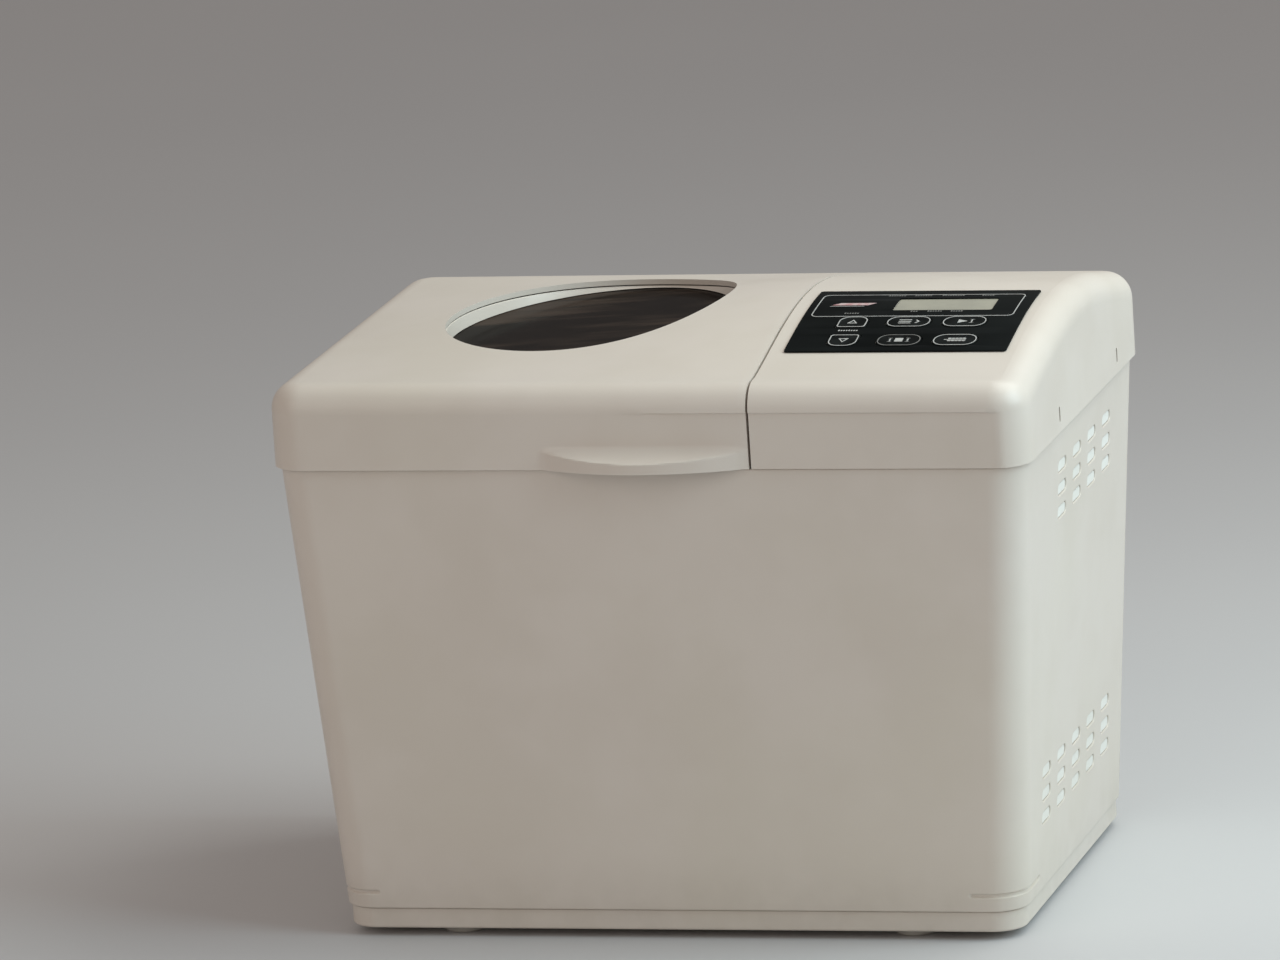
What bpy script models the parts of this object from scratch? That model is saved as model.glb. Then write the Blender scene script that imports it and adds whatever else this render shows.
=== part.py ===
"""Countertop bread machine: tapered housing, arched lid and control cover, pan, heater and kneading drive.

Units are metres, +Z is up and the front faces -Y. The origin is the middle of the footprint, on the table.
"""

import math

import bmesh
import bpy
from mathutils import Matrix, Vector

# Overall sizes
COVER_WIDTH = 0.360
COVER_DEPTH = 0.252
FOOT_HEIGHT = 0.004
BASE_HEIGHT = 0.010
BODY_HEIGHT = 0.213
COVER_EDGE_HEIGHT = 0.0394
ARCH_RISE = 0.0168
LIP_REACH = 0.011
CONTROL_WIDTH = 0.1288

# Walls and clearances
GAP = 0.0003
SEAM_GAP = 0.0012
PIERCE_DEPTH = 0.06
BODY_WALL = 0.0025
LID_WALL = 0.0025
LINER_WALL = 0.0010
PAN_WALL = 0.0015
CHAMBER_WALL = 0.0010

# Outer form
OVERHANG = 0.004
TAPER_X = 0.0125
TAPER_Y = 0.011
PLAN_CORNER = 0.017
EDGE_RADIUS = 0.0125
ARCH_FRONT = 0.014
ARCH_BACK = 0.006
ARCH_POWER = 1.2
BODY_CORNER = 0.016
BASE_INSET = 0.0015
FOOT_RADIUS = 0.0103
FOOT_EDGE = 0.0012
FOOT_INSET_X = 0.055
FOOT_INSET_Y = 0.0185

# Side vents
VENT_LENGTH = 0.0175
VENT_HEIGHT = 0.0055
VENT_COLUMN_PITCH = 0.0315
VENT_ROW_PITCH = 0.0108
UPPER_VENTS = (3, 4, 0.0895, -0.0185)
LOWER_VENTS = (3, 5, 0.063, 0.0695)

# Lid, window and hinge
LIP_HALF_LENGTH = 0.0478
LIP_SEAM_OFFSET = 0.0497
LIP_FACE = 0.005
LIP_RISE = 0.011
WINDOW_HALF_X = 0.068
WINDOW_HALF_Y = 0.082
WINDOW_SHIFT_X = 0.0065
WINDOW_FROM_FRONT = 0.140
WINDOW_DROP = 0.0024
WINDOW_SLOPE = 0.060
WINDOW_LAP = 0.003
GLASS_THICKNESS = 0.003
BEZEL_WALL = 0.002
RETAINER_THICKNESS = 0.0015
LINER_INSET = 0.006
LINER_BACK_INSET = 0.018
HINGE_RISE = 0.0122
HINGE_INSET = 0.0065
HINGE_FROM_SIDE = 0.017
PIN_RADIUS = 0.002
LUG_WIDTH = 0.006

# Control cover
OVERLAY_MARGIN = 0.0072
OVERLAY_WIDTH = 0.1051
OVERLAY_FROM_FRONT = 0.0438
OVERLAY_DEPTH = 0.0778
OVERLAY_THICKNESS = 0.0006
KEY_CLEARANCE = 0.00035
KEY_TRAVEL = 0.0006
KEY_HEIGHT = 0.0068
KEY_WIDTH = 0.0214
KEY_DEPTH = 0.0131
TIMER_KEY_WIDTH = 0.0146
TIMER_KEY_DEPTH = 0.0134
KEY_COLUMNS = (0.0256, 0.0521, 0.0786)
KEY_ROWS = (0.0117, 0.0327)
LCD_OFFSET = (0.041, 0.0480)
LCD_SIZE = (0.0467, 0.0165)
BOARD_DROP = 0.0075
BOARD_THICKNESS = 0.0016

# Deck, chamber and pan
DECK_DROP = 0.0045
DECK_THICKNESS = 0.004
DECK_CLEARANCE = 0.0006
CHAMBER_SIDE_MARGIN = 0.022
CHAMBER_SEAM_MARGIN = 0.015
CHAMBER_Y_MARGIN = 0.022
CHAMBER_CORNER = 0.014
CHAMBER_FLANGE = 0.006
FLANGE_THICKNESS = 0.0010
PAN_MARGIN = 0.024
PAN_CORNER = 0.026
PAN_RIM_DROP = 0.0115
PAN_RIM = 0.003
HANDLE_WIRE = 0.002
HANDLE_RISE = 0.0035
FOOT_RING = (0.0250, 0.0285)
PADDLE_CLEARANCE = 0.0225
BLADE_ROOT = 0.006
BLADE_HEIGHT = 0.029
BLADE_THICKNESS = 0.0034
PROBE_RISE = 0.070
FUSE_RADIUS = 0.0045

# Drive train levels and radii
DRIVE_ROOM = 0.042
TRAY_FLOOR = 0.0022
CHASSIS_THICKNESS = 0.0015
BEARING_HEIGHT = 0.0135
SHAFT_RADIUS = 0.004
SHAFT_CLEARANCE = 0.00005
BUSH_RADIUS = 0.0075
PULLEY_RADIUS = 0.050
MOTOR_PULLEY_RADIUS = 0.0085
PULLEY_HEIGHT = 0.013
BELT_WIDTH = 0.009
BELT_THICKNESS = 0.0016
MOTOR_RADIUS = 0.034
MOTOR_HEIGHT = 0.068
CORD_RISE = 0.022
CORD_HOLE = 0.0085
SOCKET_HEIGHT = 0.011
PAN_STAND = 0.0165
ELEMENT_RADIUS = 0.00325
ELEMENT_RISE = 0.017
ELEMENT_TERMINAL = 0.018
ELEMENT_INSET = 0.012

# Places that follow from the sizes above
BASE_TOP = FOOT_HEIGHT + BASE_HEIGHT
BODY_TOP = BASE_TOP + BODY_HEIGHT
COVER_TOP = BODY_TOP + COVER_EDGE_HEIGHT
COVER_BOTTOM = BODY_TOP + GAP
CASE_Y = LIP_REACH / 2
FRONT_Y = CASE_Y - COVER_DEPTH / 2
BACK_Y = CASE_Y + COVER_DEPTH / 2
BODY_HALF_X = COVER_WIDTH / 2 - OVERHANG
BODY_HALF_Y = COVER_DEPTH / 2 - OVERHANG
CONTROL_X = COVER_WIDTH / 2 - CONTROL_WIDTH
LID_X = CONTROL_X - SEAM_GAP
FADE_START = -COVER_WIDTH / 2 + EDGE_RADIUS
WINDOW_X = (LID_X - COVER_WIDTH / 2) / 2 + WINDOW_SHIFT_X
WINDOW_Y = FRONT_Y + WINDOW_FROM_FRONT
HINGE_Y = BACK_Y - HINGE_INSET
HINGE_Z = COVER_BOTTOM + HINGE_RISE
DECK_TOP = BODY_TOP - DECK_DROP
DECK_BOTTOM = DECK_TOP - DECK_THICKNESS
CHAMBER_LEFT = -BODY_HALF_X + CHAMBER_SIDE_MARGIN
CHAMBER_RIGHT = LID_X - CHAMBER_SEAM_MARGIN
CHAMBER_FRONT = CASE_Y - BODY_HALF_Y + CHAMBER_Y_MARGIN
CHAMBER_BACK = CASE_Y + BODY_HALF_Y - CHAMBER_Y_MARGIN
PAN_X = (CHAMBER_LEFT + CHAMBER_RIGHT) / 2
PAN_Y = (CHAMBER_FRONT + CHAMBER_BACK) / 2
CHASSIS_Z = FOOT_HEIGHT + DRIVE_ROOM
CHASSIS_TOP = CHASSIS_Z + CHASSIS_THICKNESS
CHAMBER_Z = CHASSIS_TOP + BEARING_HEIGHT + 2 * GAP
CHAMBER_FLOOR = CHAMBER_Z + CHAMBER_WALL
PAN_Z = CHAMBER_FLOOR + PAN_STAND
PAN_FLOOR = PAN_Z + PAN_WALL
PAN_RIM_Z = DECK_TOP - PAN_RIM_DROP
PAN_HALF_X = (CHAMBER_RIGHT - CHAMBER_LEFT) / 2 - PAN_MARGIN
PAN_HALF_Y = (CHAMBER_BACK - CHAMBER_FRONT) / 2 - PAN_MARGIN
MOTOR_X = (CONTROL_X + BODY_HALF_X) / 2 - 0.008
MOTOR_Y = CASE_Y
PULLEY_Z = FOOT_HEIGHT + TRAY_FLOOR + 0.012
CORD_X = MOTOR_X
CORD_Z = CHASSIS_TOP + CORD_RISE
PROBE_Z = CHAMBER_FLOOR + PROBE_RISE
HANDLE_Z = PAN_RIM_Z + HANDLE_RISE
SHAFT_FIT = SHAFT_RADIUS + SHAFT_CLEARANCE
SHAFT_GRIP = SHAFT_RADIUS + GAP
OVERLAY_X = CONTROL_X + OVERLAY_MARGIN
OVERLAY_Y = FRONT_Y + OVERLAY_FROM_FRONT

# Surface finishes: base colour, roughness, metallic
IVORY = ((0.78, 0.76, 0.71), 0.38, 0.0)
DARK_PLASTIC = ((0.03, 0.03, 0.035), 0.45, 0.0)
OVERLAY_BLACK = ((0.012, 0.013, 0.016), 0.32, 0.0)
LCD_PALE = ((0.62, 0.60, 0.50), 0.20, 0.0)
SMOKED_GLASS = ((0.05, 0.04, 0.035), 0.05, 0.0)
STEEL = ((0.60, 0.61, 0.62), 0.35, 1.0)
ZINC = ((0.50, 0.52, 0.54), 0.45, 1.0)
NONSTICK = ((0.06, 0.06, 0.065), 0.50, 0.2)
ALUMINIUM = ((0.70, 0.71, 0.72), 0.40, 1.0)
BRASS = ((0.70, 0.55, 0.25), 0.35, 1.0)
RUBBER = ((0.04, 0.04, 0.04), 0.85, 0.0)
PALE_RUBBER = ((0.55, 0.53, 0.49), 0.70, 0.0)
BOARD_GREEN = ((0.05, 0.20, 0.09), 0.50, 0.0)
COPPER = ((0.62, 0.32, 0.18), 0.40, 1.0)


def clear_scene():
    """Remove whatever the scene starts with."""
    for item in list(bpy.data.objects):
        bpy.data.objects.remove(item, do_unlink=True)


def new_collection(name):
    """Add a collection to the scene."""
    collection = bpy.data.collections.new(name)
    bpy.context.scene.collection.children.link(collection)
    return collection


clear_scene()
PARTS = new_collection("bread_machine")
CUTTERS = new_collection("cutters")


# Shared helpers -----------------------------------------------------------------------------------


def make_material(name, finish):
    """Make one Principled material from a finish."""
    colour, roughness, metallic = finish
    material = bpy.data.materials.new(name)
    material.use_nodes = True
    shader = material.node_tree.nodes["Principled BSDF"]
    shader.inputs["Base Color"].default_value = (*colour, 1.0)
    shader.inputs["Roughness"].default_value = roughness
    shader.inputs["Metallic"].default_value = metallic
    material.diffuse_color = (*colour, 1.0)
    return material


def add_part(name, mesh, finish):
    """Put a mesh in the machine as a named part with its own material."""
    part = bpy.data.objects.new(name, mesh)
    PARTS.objects.link(part)
    part.data.materials.append(make_material(name, finish))
    part.data.shade_smooth()
    part.data.set_sharp_from_angle(angle=math.radians(35))
    return part


def add_tool(name, mesh):
    """Put a mesh among the cutters, out of the model."""
    tool = bpy.data.objects.new(name, mesh)
    CUTTERS.objects.link(tool)
    tool.hide_render = True
    tool.display_type = "WIRE"
    return tool


def combine(part, tool, operation):
    """Add an exact Boolean to a part."""
    modifier = part.modifiers.new(operation.lower(), "BOOLEAN")
    modifier.operation = operation
    modifier.solver = "EXACT"
    modifier.object = tool


def carve(part, name, mesh):
    """Cut a mesh out of a part."""
    combine(part, add_tool(name, mesh), "DIFFERENCE")


def pierce(part, name, outline, z):
    """Cut a hole with this plan outline through a part near height z."""
    carve(part, name, plate(name, [outline], PIERCE_DEPTH, Matrix.Translation((0, 0, z))))


def fuse(part, name, mesh):
    """Join an overlapping mesh to a part."""
    combine(part, add_tool(name, mesh), "UNION")


def thicken(part, wall):
    """Give an open surface a wall that grows inwards."""
    modifier = part.modifiers.new("wall", "SOLIDIFY")
    modifier.thickness = wall
    modifier.offset = -1.0
    modifier.use_even_offset = True


def finish_mesh(name, bm):
    """Turn a bmesh into a mesh with its faces pointing out."""
    bmesh.ops.recalc_face_normals(bm, faces=bm.faces[:])
    mesh = bpy.data.meshes.new(name)
    bm.to_mesh(mesh)
    bm.free()
    return mesh


def block(name, low, high, edge=0.0):
    """A box between two corners, with all its edges rounded by edge."""
    low = Vector(low)
    high = Vector(high)
    bm = bmesh.new()
    place = Matrix.Translation((low + high) / 2) @ Matrix.Diagonal((*(high - low), 1.0))
    bmesh.ops.create_cube(bm, size=1.0, matrix=place)
    if edge:
        bmesh.ops.bevel(bm, geom=bm.edges[:], offset=edge, segments=2, profile=0.5, affect="EDGES")
    return finish_mesh(name, bm)


def upright(name, low, high, corner, flare=(0.0, 0.0), segments=4, open_ends=()):
    """A box with rounded upright edges, narrower at its foot by flare on each side."""
    low = Vector(low)
    high = Vector(high)
    middle = (low + high) / 2
    bm = bmesh.new()
    place = Matrix.Translation(middle) @ Matrix.Diagonal((*(high - low), 1.0))
    bmesh.ops.create_cube(bm, size=1.0, matrix=place)
    for vertex in bm.verts:
        if vertex.co.z < middle.z:
            vertex.co.x -= math.copysign(flare[0], vertex.co.x - middle.x)
            vertex.co.y -= math.copysign(flare[1], vertex.co.y - middle.y)
    standing = [edge for edge in bm.edges if abs(edge.verts[0].co.z - edge.verts[1].co.z) > 1e-5]
    bmesh.ops.bevel(bm, geom=standing, offset=corner, segments=segments, profile=0.5, affect="EDGES")
    bm.normal_update()
    ends = [face for face in bm.faces if abs(face.normal.z) > 0.9]
    removed = [face for face in ends if ("top" if face.normal.z > 0 else "bottom") in open_ends]
    bmesh.ops.delete(bm, geom=removed, context="FACES_ONLY")
    return finish_mesh(name, bm)


def rod(name, radius, start, end, segments=20):
    """A straight round bar between two points."""
    start = Vector(start)
    end = Vector(end)
    length = (end - start).length
    turn = Vector((0.0, 0.0, 1.0)).rotation_difference(end - start).to_matrix().to_4x4()
    bm = bmesh.new()
    bmesh.ops.create_cone(
        bm,
        cap_ends=True,
        segments=segments,
        radius1=radius,
        radius2=radius,
        depth=length,
        matrix=Matrix.Translation((start + end) / 2) @ turn,
    )
    return finish_mesh(name, bm)


def add_turned(name, profile, place, finish, closed=True, steps=24):
    """A part turned about an upright axis at place, from (radius, height) points."""
    bm = bmesh.new()
    ring = [bm.verts.new((radius, 0.0, height)) for radius, height in profile]
    for first, second in zip(ring, ring[1:]):
        bm.edges.new((first, second))
    if closed:
        bm.edges.new((ring[-1], ring[0]))
    mesh = bpy.data.meshes.new(name)
    bm.to_mesh(mesh)
    bm.free()
    part = add_part(name, mesh, finish)
    part.location = place
    screw = part.modifiers.new("turn", "SCREW")
    screw.axis = "Z"
    screw.steps = steps
    screw.render_steps = steps
    screw.use_merge_vertices = True
    screw.merge_threshold = 0.00001
    return part


def curve_mesh(name, curve):
    """Turn a curve into a mesh with welded caps and remove the curve."""
    holder = bpy.data.objects.new(name, curve)
    bpy.context.scene.collection.objects.link(holder)
    graph = bpy.context.evaluated_depsgraph_get()
    mesh = bpy.data.meshes.new_from_object(holder.evaluated_get(graph))
    bpy.data.objects.remove(holder, do_unlink=True)
    bpy.data.curves.remove(curve)
    bm = bmesh.new()
    bm.from_mesh(mesh)
    bmesh.ops.remove_doubles(bm, verts=bm.verts[:], dist=1e-7)
    bmesh.ops.recalc_face_normals(bm, faces=bm.faces[:])
    bm.to_mesh(mesh)
    bm.free()
    return mesh


def add_spline(curve, points, cyclic):
    """Add one straight-sided spline to a curve."""
    spline = curve.splines.new("POLY")
    spline.points.add(len(points) - 1)
    for target, point in zip(spline.points, points):
        target.co = (*point, 0.0, 1.0) if len(point) == 2 else (*point, 1.0)
    spline.use_cyclic_u = cyclic


def plate(name, outlines, thickness, place):
    """A flat plate with holes, or a set of plates, centred on the plane that place maps to."""
    curve = bpy.data.curves.new(name, "CURVE")
    curve.dimensions = "2D"
    curve.fill_mode = "BOTH"
    curve.extrude = thickness / 2
    for outline in outlines:
        add_spline(curve, outline, True)
    mesh = curve_mesh(name, curve)
    mesh.transform(place)
    return mesh


def wire(name, points, radius, cyclic=False, resolution=1):
    """A round wire along a path, with filled ends."""
    curve = bpy.data.curves.new(name, "CURVE")
    curve.dimensions = "3D"
    curve.bevel_depth = radius
    curve.bevel_resolution = resolution
    curve.use_fill_caps = not cyclic
    add_spline(curve, points, cyclic)
    return curve_mesh(name, curve)


def arc(centre, radius, start, end, steps):
    """Points on an arc in the plane, angles in degrees."""
    angles = [math.radians(start + (end - start) * step / steps) for step in range(steps + 1)]
    return [(centre[0] + radius * math.cos(a), centre[1] + radius * math.sin(a)) for a in angles]


def ellipse(half_x, half_y, steps=36, centre=(0.0, 0.0)):
    """Points round an ellipse."""
    angles = [2 * math.pi * step / steps for step in range(steps)]
    return [(centre[0] + half_x * math.cos(a), centre[1] + half_y * math.sin(a)) for a in angles]


def round_rectangle(low, high, corner, steps=4):
    """Points round a rectangle with rounded corners."""
    points = arc((high[0] - corner, low[1] + corner), corner, -90, 0, steps)
    points += arc((high[0] - corner, high[1] - corner), corner, 0, 90, steps)
    points += arc((low[0] + corner, high[1] - corner), corner, 90, 180, steps)
    points += arc((low[0] + corner, low[1] + corner), corner, 180, 270, steps)
    return points


def fillet_path(corners, radius, steps=3):
    """A path through corner points with each inner corner rounded."""
    path = [Vector(corners[0])]
    for before, corner, after in zip(corners, corners[1:], corners[2:]):
        corner = Vector(corner)
        towards = (Vector(before) - corner).normalized()
        onwards = (Vector(after) - corner).normalized()
        half_angle = towards.angle(onwards) / 2
        reach = radius / math.tan(half_angle)
        centre = corner + (towards + onwards).normalized() * radius / math.sin(half_angle)
        first = corner + towards * reach - centre
        last = corner + onwards * reach - centre
        for step in range(steps + 1):
            path.append(centre + first.slerp(last, step / steps).normalized() * radius)
    path.append(Vector(corners[-1]))
    return path


# The arched top -----------------------------------------------------------------------------------


def top_height(x, y):
    """Height of the cover's top surface: arched beside the seam, fading to flat at the left edge."""
    share = (y - FRONT_Y - ARCH_FRONT) / (COVER_DEPTH - ARCH_FRONT - ARCH_BACK)
    fade = (x - FADE_START) / (LID_X - FADE_START)
    arch = math.sin(math.pi * min(max(share, 0.0), 1.0)) ** ARCH_POWER
    return COVER_TOP + ARCH_RISE * min(max(fade, 0.0), 1.0) * arch


def control_tilt(y):
    """Angle by which the control cover's surface rises towards the back at y."""
    step = 0.002
    rise = top_height(CONTROL_X, y + step) - top_height(CONTROL_X, y - step)
    return math.atan2(rise, 2 * step)


def control_place(x, y, lift=0.0):
    """Frame on the control cover's surface, its Z along the surface's normal."""
    tilt = Matrix.Rotation(control_tilt(y), 4, "X")
    return Matrix.Translation((x, y, top_height(CONTROL_X, y))) @ tilt @ Matrix.Translation((0, 0, lift))


def arched_skin(name, seam_x, end_x, inset=0.0, back_inset=None, rows=12, columns=5, turns=3):
    """Skin under the arched top, from a flat wall at the seam to a rounded end, open below."""
    side = 1.0 if end_x > seam_x else -1.0
    front = FRONT_Y + inset
    back = BACK_Y - (inset if back_inset is None else back_inset)
    end_x -= side * inset
    edge = max(EDGE_RADIUS - inset, 0.004)
    corner = max(PLAN_CORNER - inset, edge + 0.002)

    def front_path(depth):
        """Front half of the outline, drawn in by depth, from the seam to the end's upright side."""
        straight_end = end_x - side * corner
        run = [(seam_x + (straight_end - seam_x) * i / columns, front + depth) for i in range(columns)]
        bend = arc((0.0, front + corner), corner - depth, -90, 0, turns)
        return run + [(straight_end + side * point[0], point[1]) for point in bend]

    def outline(depth):
        """Whole outline from the seam round the end and back to the seam."""
        path = front_path(depth)
        end = [
            (end_x - side * depth, front + corner + (back - front - 2 * corner) * j / rows)
            for j in range(1, rows)
        ]
        return path + end + [(x, front + back - y) for x, y in reversed(path)]

    bm = bmesh.new()
    levels = [[bm.verts.new((x, y, COVER_BOTTOM + inset / 4)) for x, y in outline(0.0)]]
    for turn in range(turns + 1):
        angle = math.pi / 2 * turn / turns
        ring = outline(edge * (1 - math.cos(angle)))
        fall = inset + edge * (1 - math.sin(angle))
        levels.append([bm.verts.new((x, y, top_height(x, y) - fall)) for x, y in ring])
    for lower, upper in zip(levels, levels[1:]):
        for i in range(len(lower) - 1):
            bm.faces.new((lower[i], lower[i + 1], upper[i + 1], upper[i]))
    rim = levels[-1]
    count = columns + turns + 1
    grid = []
    for i in range(count):
        first = rim[i]
        last = rim[len(rim) - 1 - i]
        inner = []
        for j in range(1, rows):
            y = first.co.y + (last.co.y - first.co.y) * j / rows
            inner.append(bm.verts.new((first.co.x, y, top_height(first.co.x, y) - inset)))
        grid.append([first] + inner + [last])
    for spare in grid[-1][1:-1]:
        bm.verts.remove(spare)
    grid[-1] = rim[count - 1:count + rows]
    for left, right in zip(grid, grid[1:]):
        for j in range(rows):
            bm.faces.new((left[j], right[j], right[j + 1], left[j + 1]))
    wall = [level[0] for level in levels] + grid[0][1:-1] + [level[-1] for level in reversed(levels)]
    bm.faces.new(wall)
    bmesh.ops.recalc_face_normals(bm, faces=bm.faces[:])
    bm.normal_update()
    if max(bm.faces, key=lambda face: face.calc_center_median().z).normal.z < 0:
        bmesh.ops.reverse_faces(bm, faces=bm.faces[:])
    mesh = bpy.data.meshes.new(name)
    bm.to_mesh(mesh)
    bm.free()
    return mesh


# Case ---------------------------------------------------------------------------------------------


def body_half(z):
    """Half width and half depth of the housing, outside, at height z."""
    share = 1 - (z - BASE_TOP) / BODY_HEIGHT
    return BODY_HALF_X - TAPER_X * share, BODY_HALF_Y - TAPER_Y * share


def case_corners(z_low, z_high, inset, z_size=None):
    """Two corners of a box inside the housing, sized for height z_size and drawn in by inset."""
    half_x, half_y = body_half(z_low if z_size is None else z_size)
    half_x -= inset
    half_y -= inset
    return (-half_x, CASE_Y - half_y, z_low), (half_x, CASE_Y + half_y, z_high)


def side_frame(x):
    """Map a flat outline to the right-hand side: its X along Y, its Y up."""
    axes = Matrix(((0, 0, 1), (1, 0, 0), (0, 1, 0))).to_4x4()
    return Matrix.Translation((x, 0, 0)) @ axes


def vent_outlines(rows, columns, first_y, top_z):
    """Rounded slots in a grid on the side wall."""
    outlines = []
    for row in range(rows):
        for column in range(columns):
            y = FRONT_Y + first_y + column * VENT_COLUMN_PITCH
            z = top_z - row * VENT_ROW_PITCH
            low = (y - VENT_LENGTH / 2, z - VENT_HEIGHT / 2)
            high = (y + VENT_LENGTH / 2, z + VENT_HEIGHT / 2)
            outlines.append(round_rectangle(low, high, VENT_HEIGHT / 2 - 0.0001, steps=2))
    return outlines


def build_housing():
    """Tapered outer wall with vents on the right and a cord hole at the back."""
    half_x, _ = body_half(BASE_TOP)
    low, high = case_corners(BASE_TOP, BODY_TOP - GAP, 0.0, z_size=BODY_TOP)
    mesh = upright("housing", low, high, BODY_CORNER, (TAPER_X, TAPER_Y), open_ends=("top", "bottom"))
    housing = add_part("housing", mesh, IVORY)
    thicken(housing, BODY_WALL)
    rows, columns, first_y, below_top = UPPER_VENTS
    outlines = vent_outlines(rows, columns, first_y, BODY_TOP + below_top)
    outlines += vent_outlines(*LOWER_VENTS)
    carve(housing, "vent_slots", plate("vent_slots", outlines, 0.03, side_frame(half_x + TAPER_X / 2)))
    hole = rod("cord_hole", CORD_HOLE, (CORD_X, BACK_Y - 0.03, CORD_Z), (CORD_X, BACK_Y + 0.01, CORD_Z))
    carve(housing, "cord_hole", hole)


def post_places():
    """Plan positions of the chassis posts, clear of the drive."""
    half_x, half_y = body_half(BASE_TOP)
    reach_x = half_x - 0.016
    reach_y = half_y - 0.016
    return [(sx * reach_x, CASE_Y + sy * reach_y) for sx in (-1, 1) for sy in (-1, 1)]


def build_base():
    """Shallow tray with posts that carry the chassis plate."""
    low, high = case_corners(FOOT_HEIGHT, BASE_TOP - GAP, BASE_INSET, z_size=BASE_TOP)
    tray = add_part("base_tray", upright("base_tray", low, high, BODY_CORNER - BASE_INSET), IVORY)
    inner_low, inner_high = case_corners(FOOT_HEIGHT + TRAY_FLOOR, BASE_TOP + 0.01, 0.0040, z_size=BASE_TOP)
    carve(tray, "tray_hollow", upright("tray_hollow", inner_low, inner_high, BODY_CORNER - 0.004))
    for index, (x, y) in enumerate(post_places()):
        name = f"post_{index + 1}"
        foot = (x, y, FOOT_HEIGHT + TRAY_FLOOR / 2)
        fuse(tray, name, rod(name, 0.005, foot, (x, y, CHASSIS_Z - GAP), segments=16))


def build_feet():
    """Four round feet under the tray."""
    half_x, half_y = body_half(BASE_TOP)
    top = FOOT_HEIGHT - GAP
    names = ("foot_front_left", "foot_front_right", "foot_rear_left", "foot_rear_right")
    for index, name in enumerate(names):
        x = (half_x - FOOT_INSET_X) * (1 if index % 2 else -1)
        y = CASE_Y + (half_y - FOOT_INSET_Y) * (1 if index > 1 else -1)
        outer = [(FOOT_RADIUS, top), (FOOT_RADIUS, FOOT_EDGE), (FOOT_RADIUS - FOOT_EDGE, 0.0)]
        profile = [(0.0, top)] + outer + [(0.0, 0.0)]
        add_turned(name, profile, (x, y, 0.0), PALE_RUBBER, closed=False, steps=20)


# Lid ----------------------------------------------------------------------------------------------


def lip_mesh():
    """Scooped finger lip at the lid's front edge, deepest in its middle."""
    steps = 16
    middle = LID_X - LIP_SEAM_OFFSET
    bm = bmesh.new()
    sections = []
    for step in range(steps + 1):
        share = 2 * step / steps - 1
        reach = max(LIP_REACH * (1 - share * share), 0.0004)
        face = LIP_FACE + (LIP_RISE - LIP_FACE) * 0.7 * share * share
        x = middle + LIP_HALF_LENGTH * share
        outline = [
            (FRONT_Y + LID_WALL * 0.6, 0.0),
            (FRONT_Y - reach, 0.0),
            (FRONT_Y - reach, face),
            (FRONT_Y - reach * 0.85, face + 0.0004),
            (FRONT_Y - reach * 0.40, face + (LIP_RISE - face) * 0.30),
            (FRONT_Y - 0.0001, LIP_RISE),
            (FRONT_Y + LID_WALL * 0.6, LIP_RISE),
        ]
        sections.append([bm.verts.new((x, y, COVER_BOTTOM + z)) for y, z in outline])
    for first, second in zip(sections, sections[1:]):
        for i in range(len(first)):
            j = (i + 1) % len(first)
            bm.faces.new((first[i], first[j], second[j], second[i]))
    bm.faces.new(sections[0])
    bm.faces.new(sections[-1])
    return finish_mesh("finger_lip", bm)


def hinge_places():
    """X ranges of the deck's hinge lugs and the lid's hinge lugs beside them."""
    left = -COVER_WIDTH / 2 + HINGE_FROM_SIDE
    right = LID_X - HINGE_FROM_SIDE + 0.004
    step = LUG_WIDTH + 0.0006
    return [
        ("left", (left, left + LUG_WIDTH), (left + step, left + step + LUG_WIDTH)),
        ("right", (right - LUG_WIDTH, right), (right - step - LUG_WIDTH, right - step)),
    ]


def lid_back_trim():
    """Material outside the circle that the lid's back edge turns in."""
    low = (-COVER_WIDTH, HINGE_Y, COVER_BOTTOM - 0.01)
    high = (COVER_WIDTH, BACK_Y + 0.02, HINGE_Z)
    trim = add_tool("back_trim", block("back_trim", low, high))
    ends = (-COVER_WIDTH - 0.01, HINGE_Y, HINGE_Z), (COVER_WIDTH + 0.01, HINGE_Y, HINGE_Z)
    combine(trim, add_tool("back_circle", rod("back_circle", HINGE_RISE, *ends, segments=64)), "DIFFERENCE")
    return trim


def build_lid():
    """Lid shell with its window hole, finger lip and hinge lugs."""
    lid = add_part("lid_shell", arched_skin("lid_shell", LID_X, -COVER_WIDTH / 2), IVORY)
    thicken(lid, LID_WALL)
    outline = ellipse(WINDOW_HALF_X, WINDOW_HALF_Y, centre=(WINDOW_X, WINDOW_Y))
    pierce(lid, "window_hole", outline, COVER_TOP)
    combine(lid, lid_back_trim(), "DIFFERENCE")
    fuse(lid, "finger_lip", lip_mesh())
    for side, deck_lug, lid_lug in hinge_places():
        low = (deck_lug[0] - 0.0008, HINGE_Y - 0.001, COVER_BOTTOM - 0.01)
        high = (deck_lug[1] + 0.0008, BACK_Y + 0.01, HINGE_Z + 0.0085)
        carve(lid, f"notch_{side}", block(f"notch_{side}", low, high))
        low = (lid_lug[0], HINGE_Y - 0.004, HINGE_Z - 0.004)
        high = (lid_lug[1], BACK_Y - 0.001, HINGE_Z + 0.009)
        fuse(lid, f"lid_lug_{side}", block(f"lid_lug_{side}", low, high))
        bore_ends = (lid_lug[0] - 0.001, HINGE_Y, HINGE_Z), (lid_lug[1] + 0.001, HINGE_Y, HINGE_Z)
        carve(lid, f"lid_bore_{side}", rod(f"lid_bore_{side}", PIN_RADIUS + GAP, *bore_ends, segments=16))


def glass_height(x):
    """Height of the glass's upper face."""
    middle = COVER_TOP - WINDOW_DROP
    return middle + WINDOW_SLOPE * (x - WINDOW_X)


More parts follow.
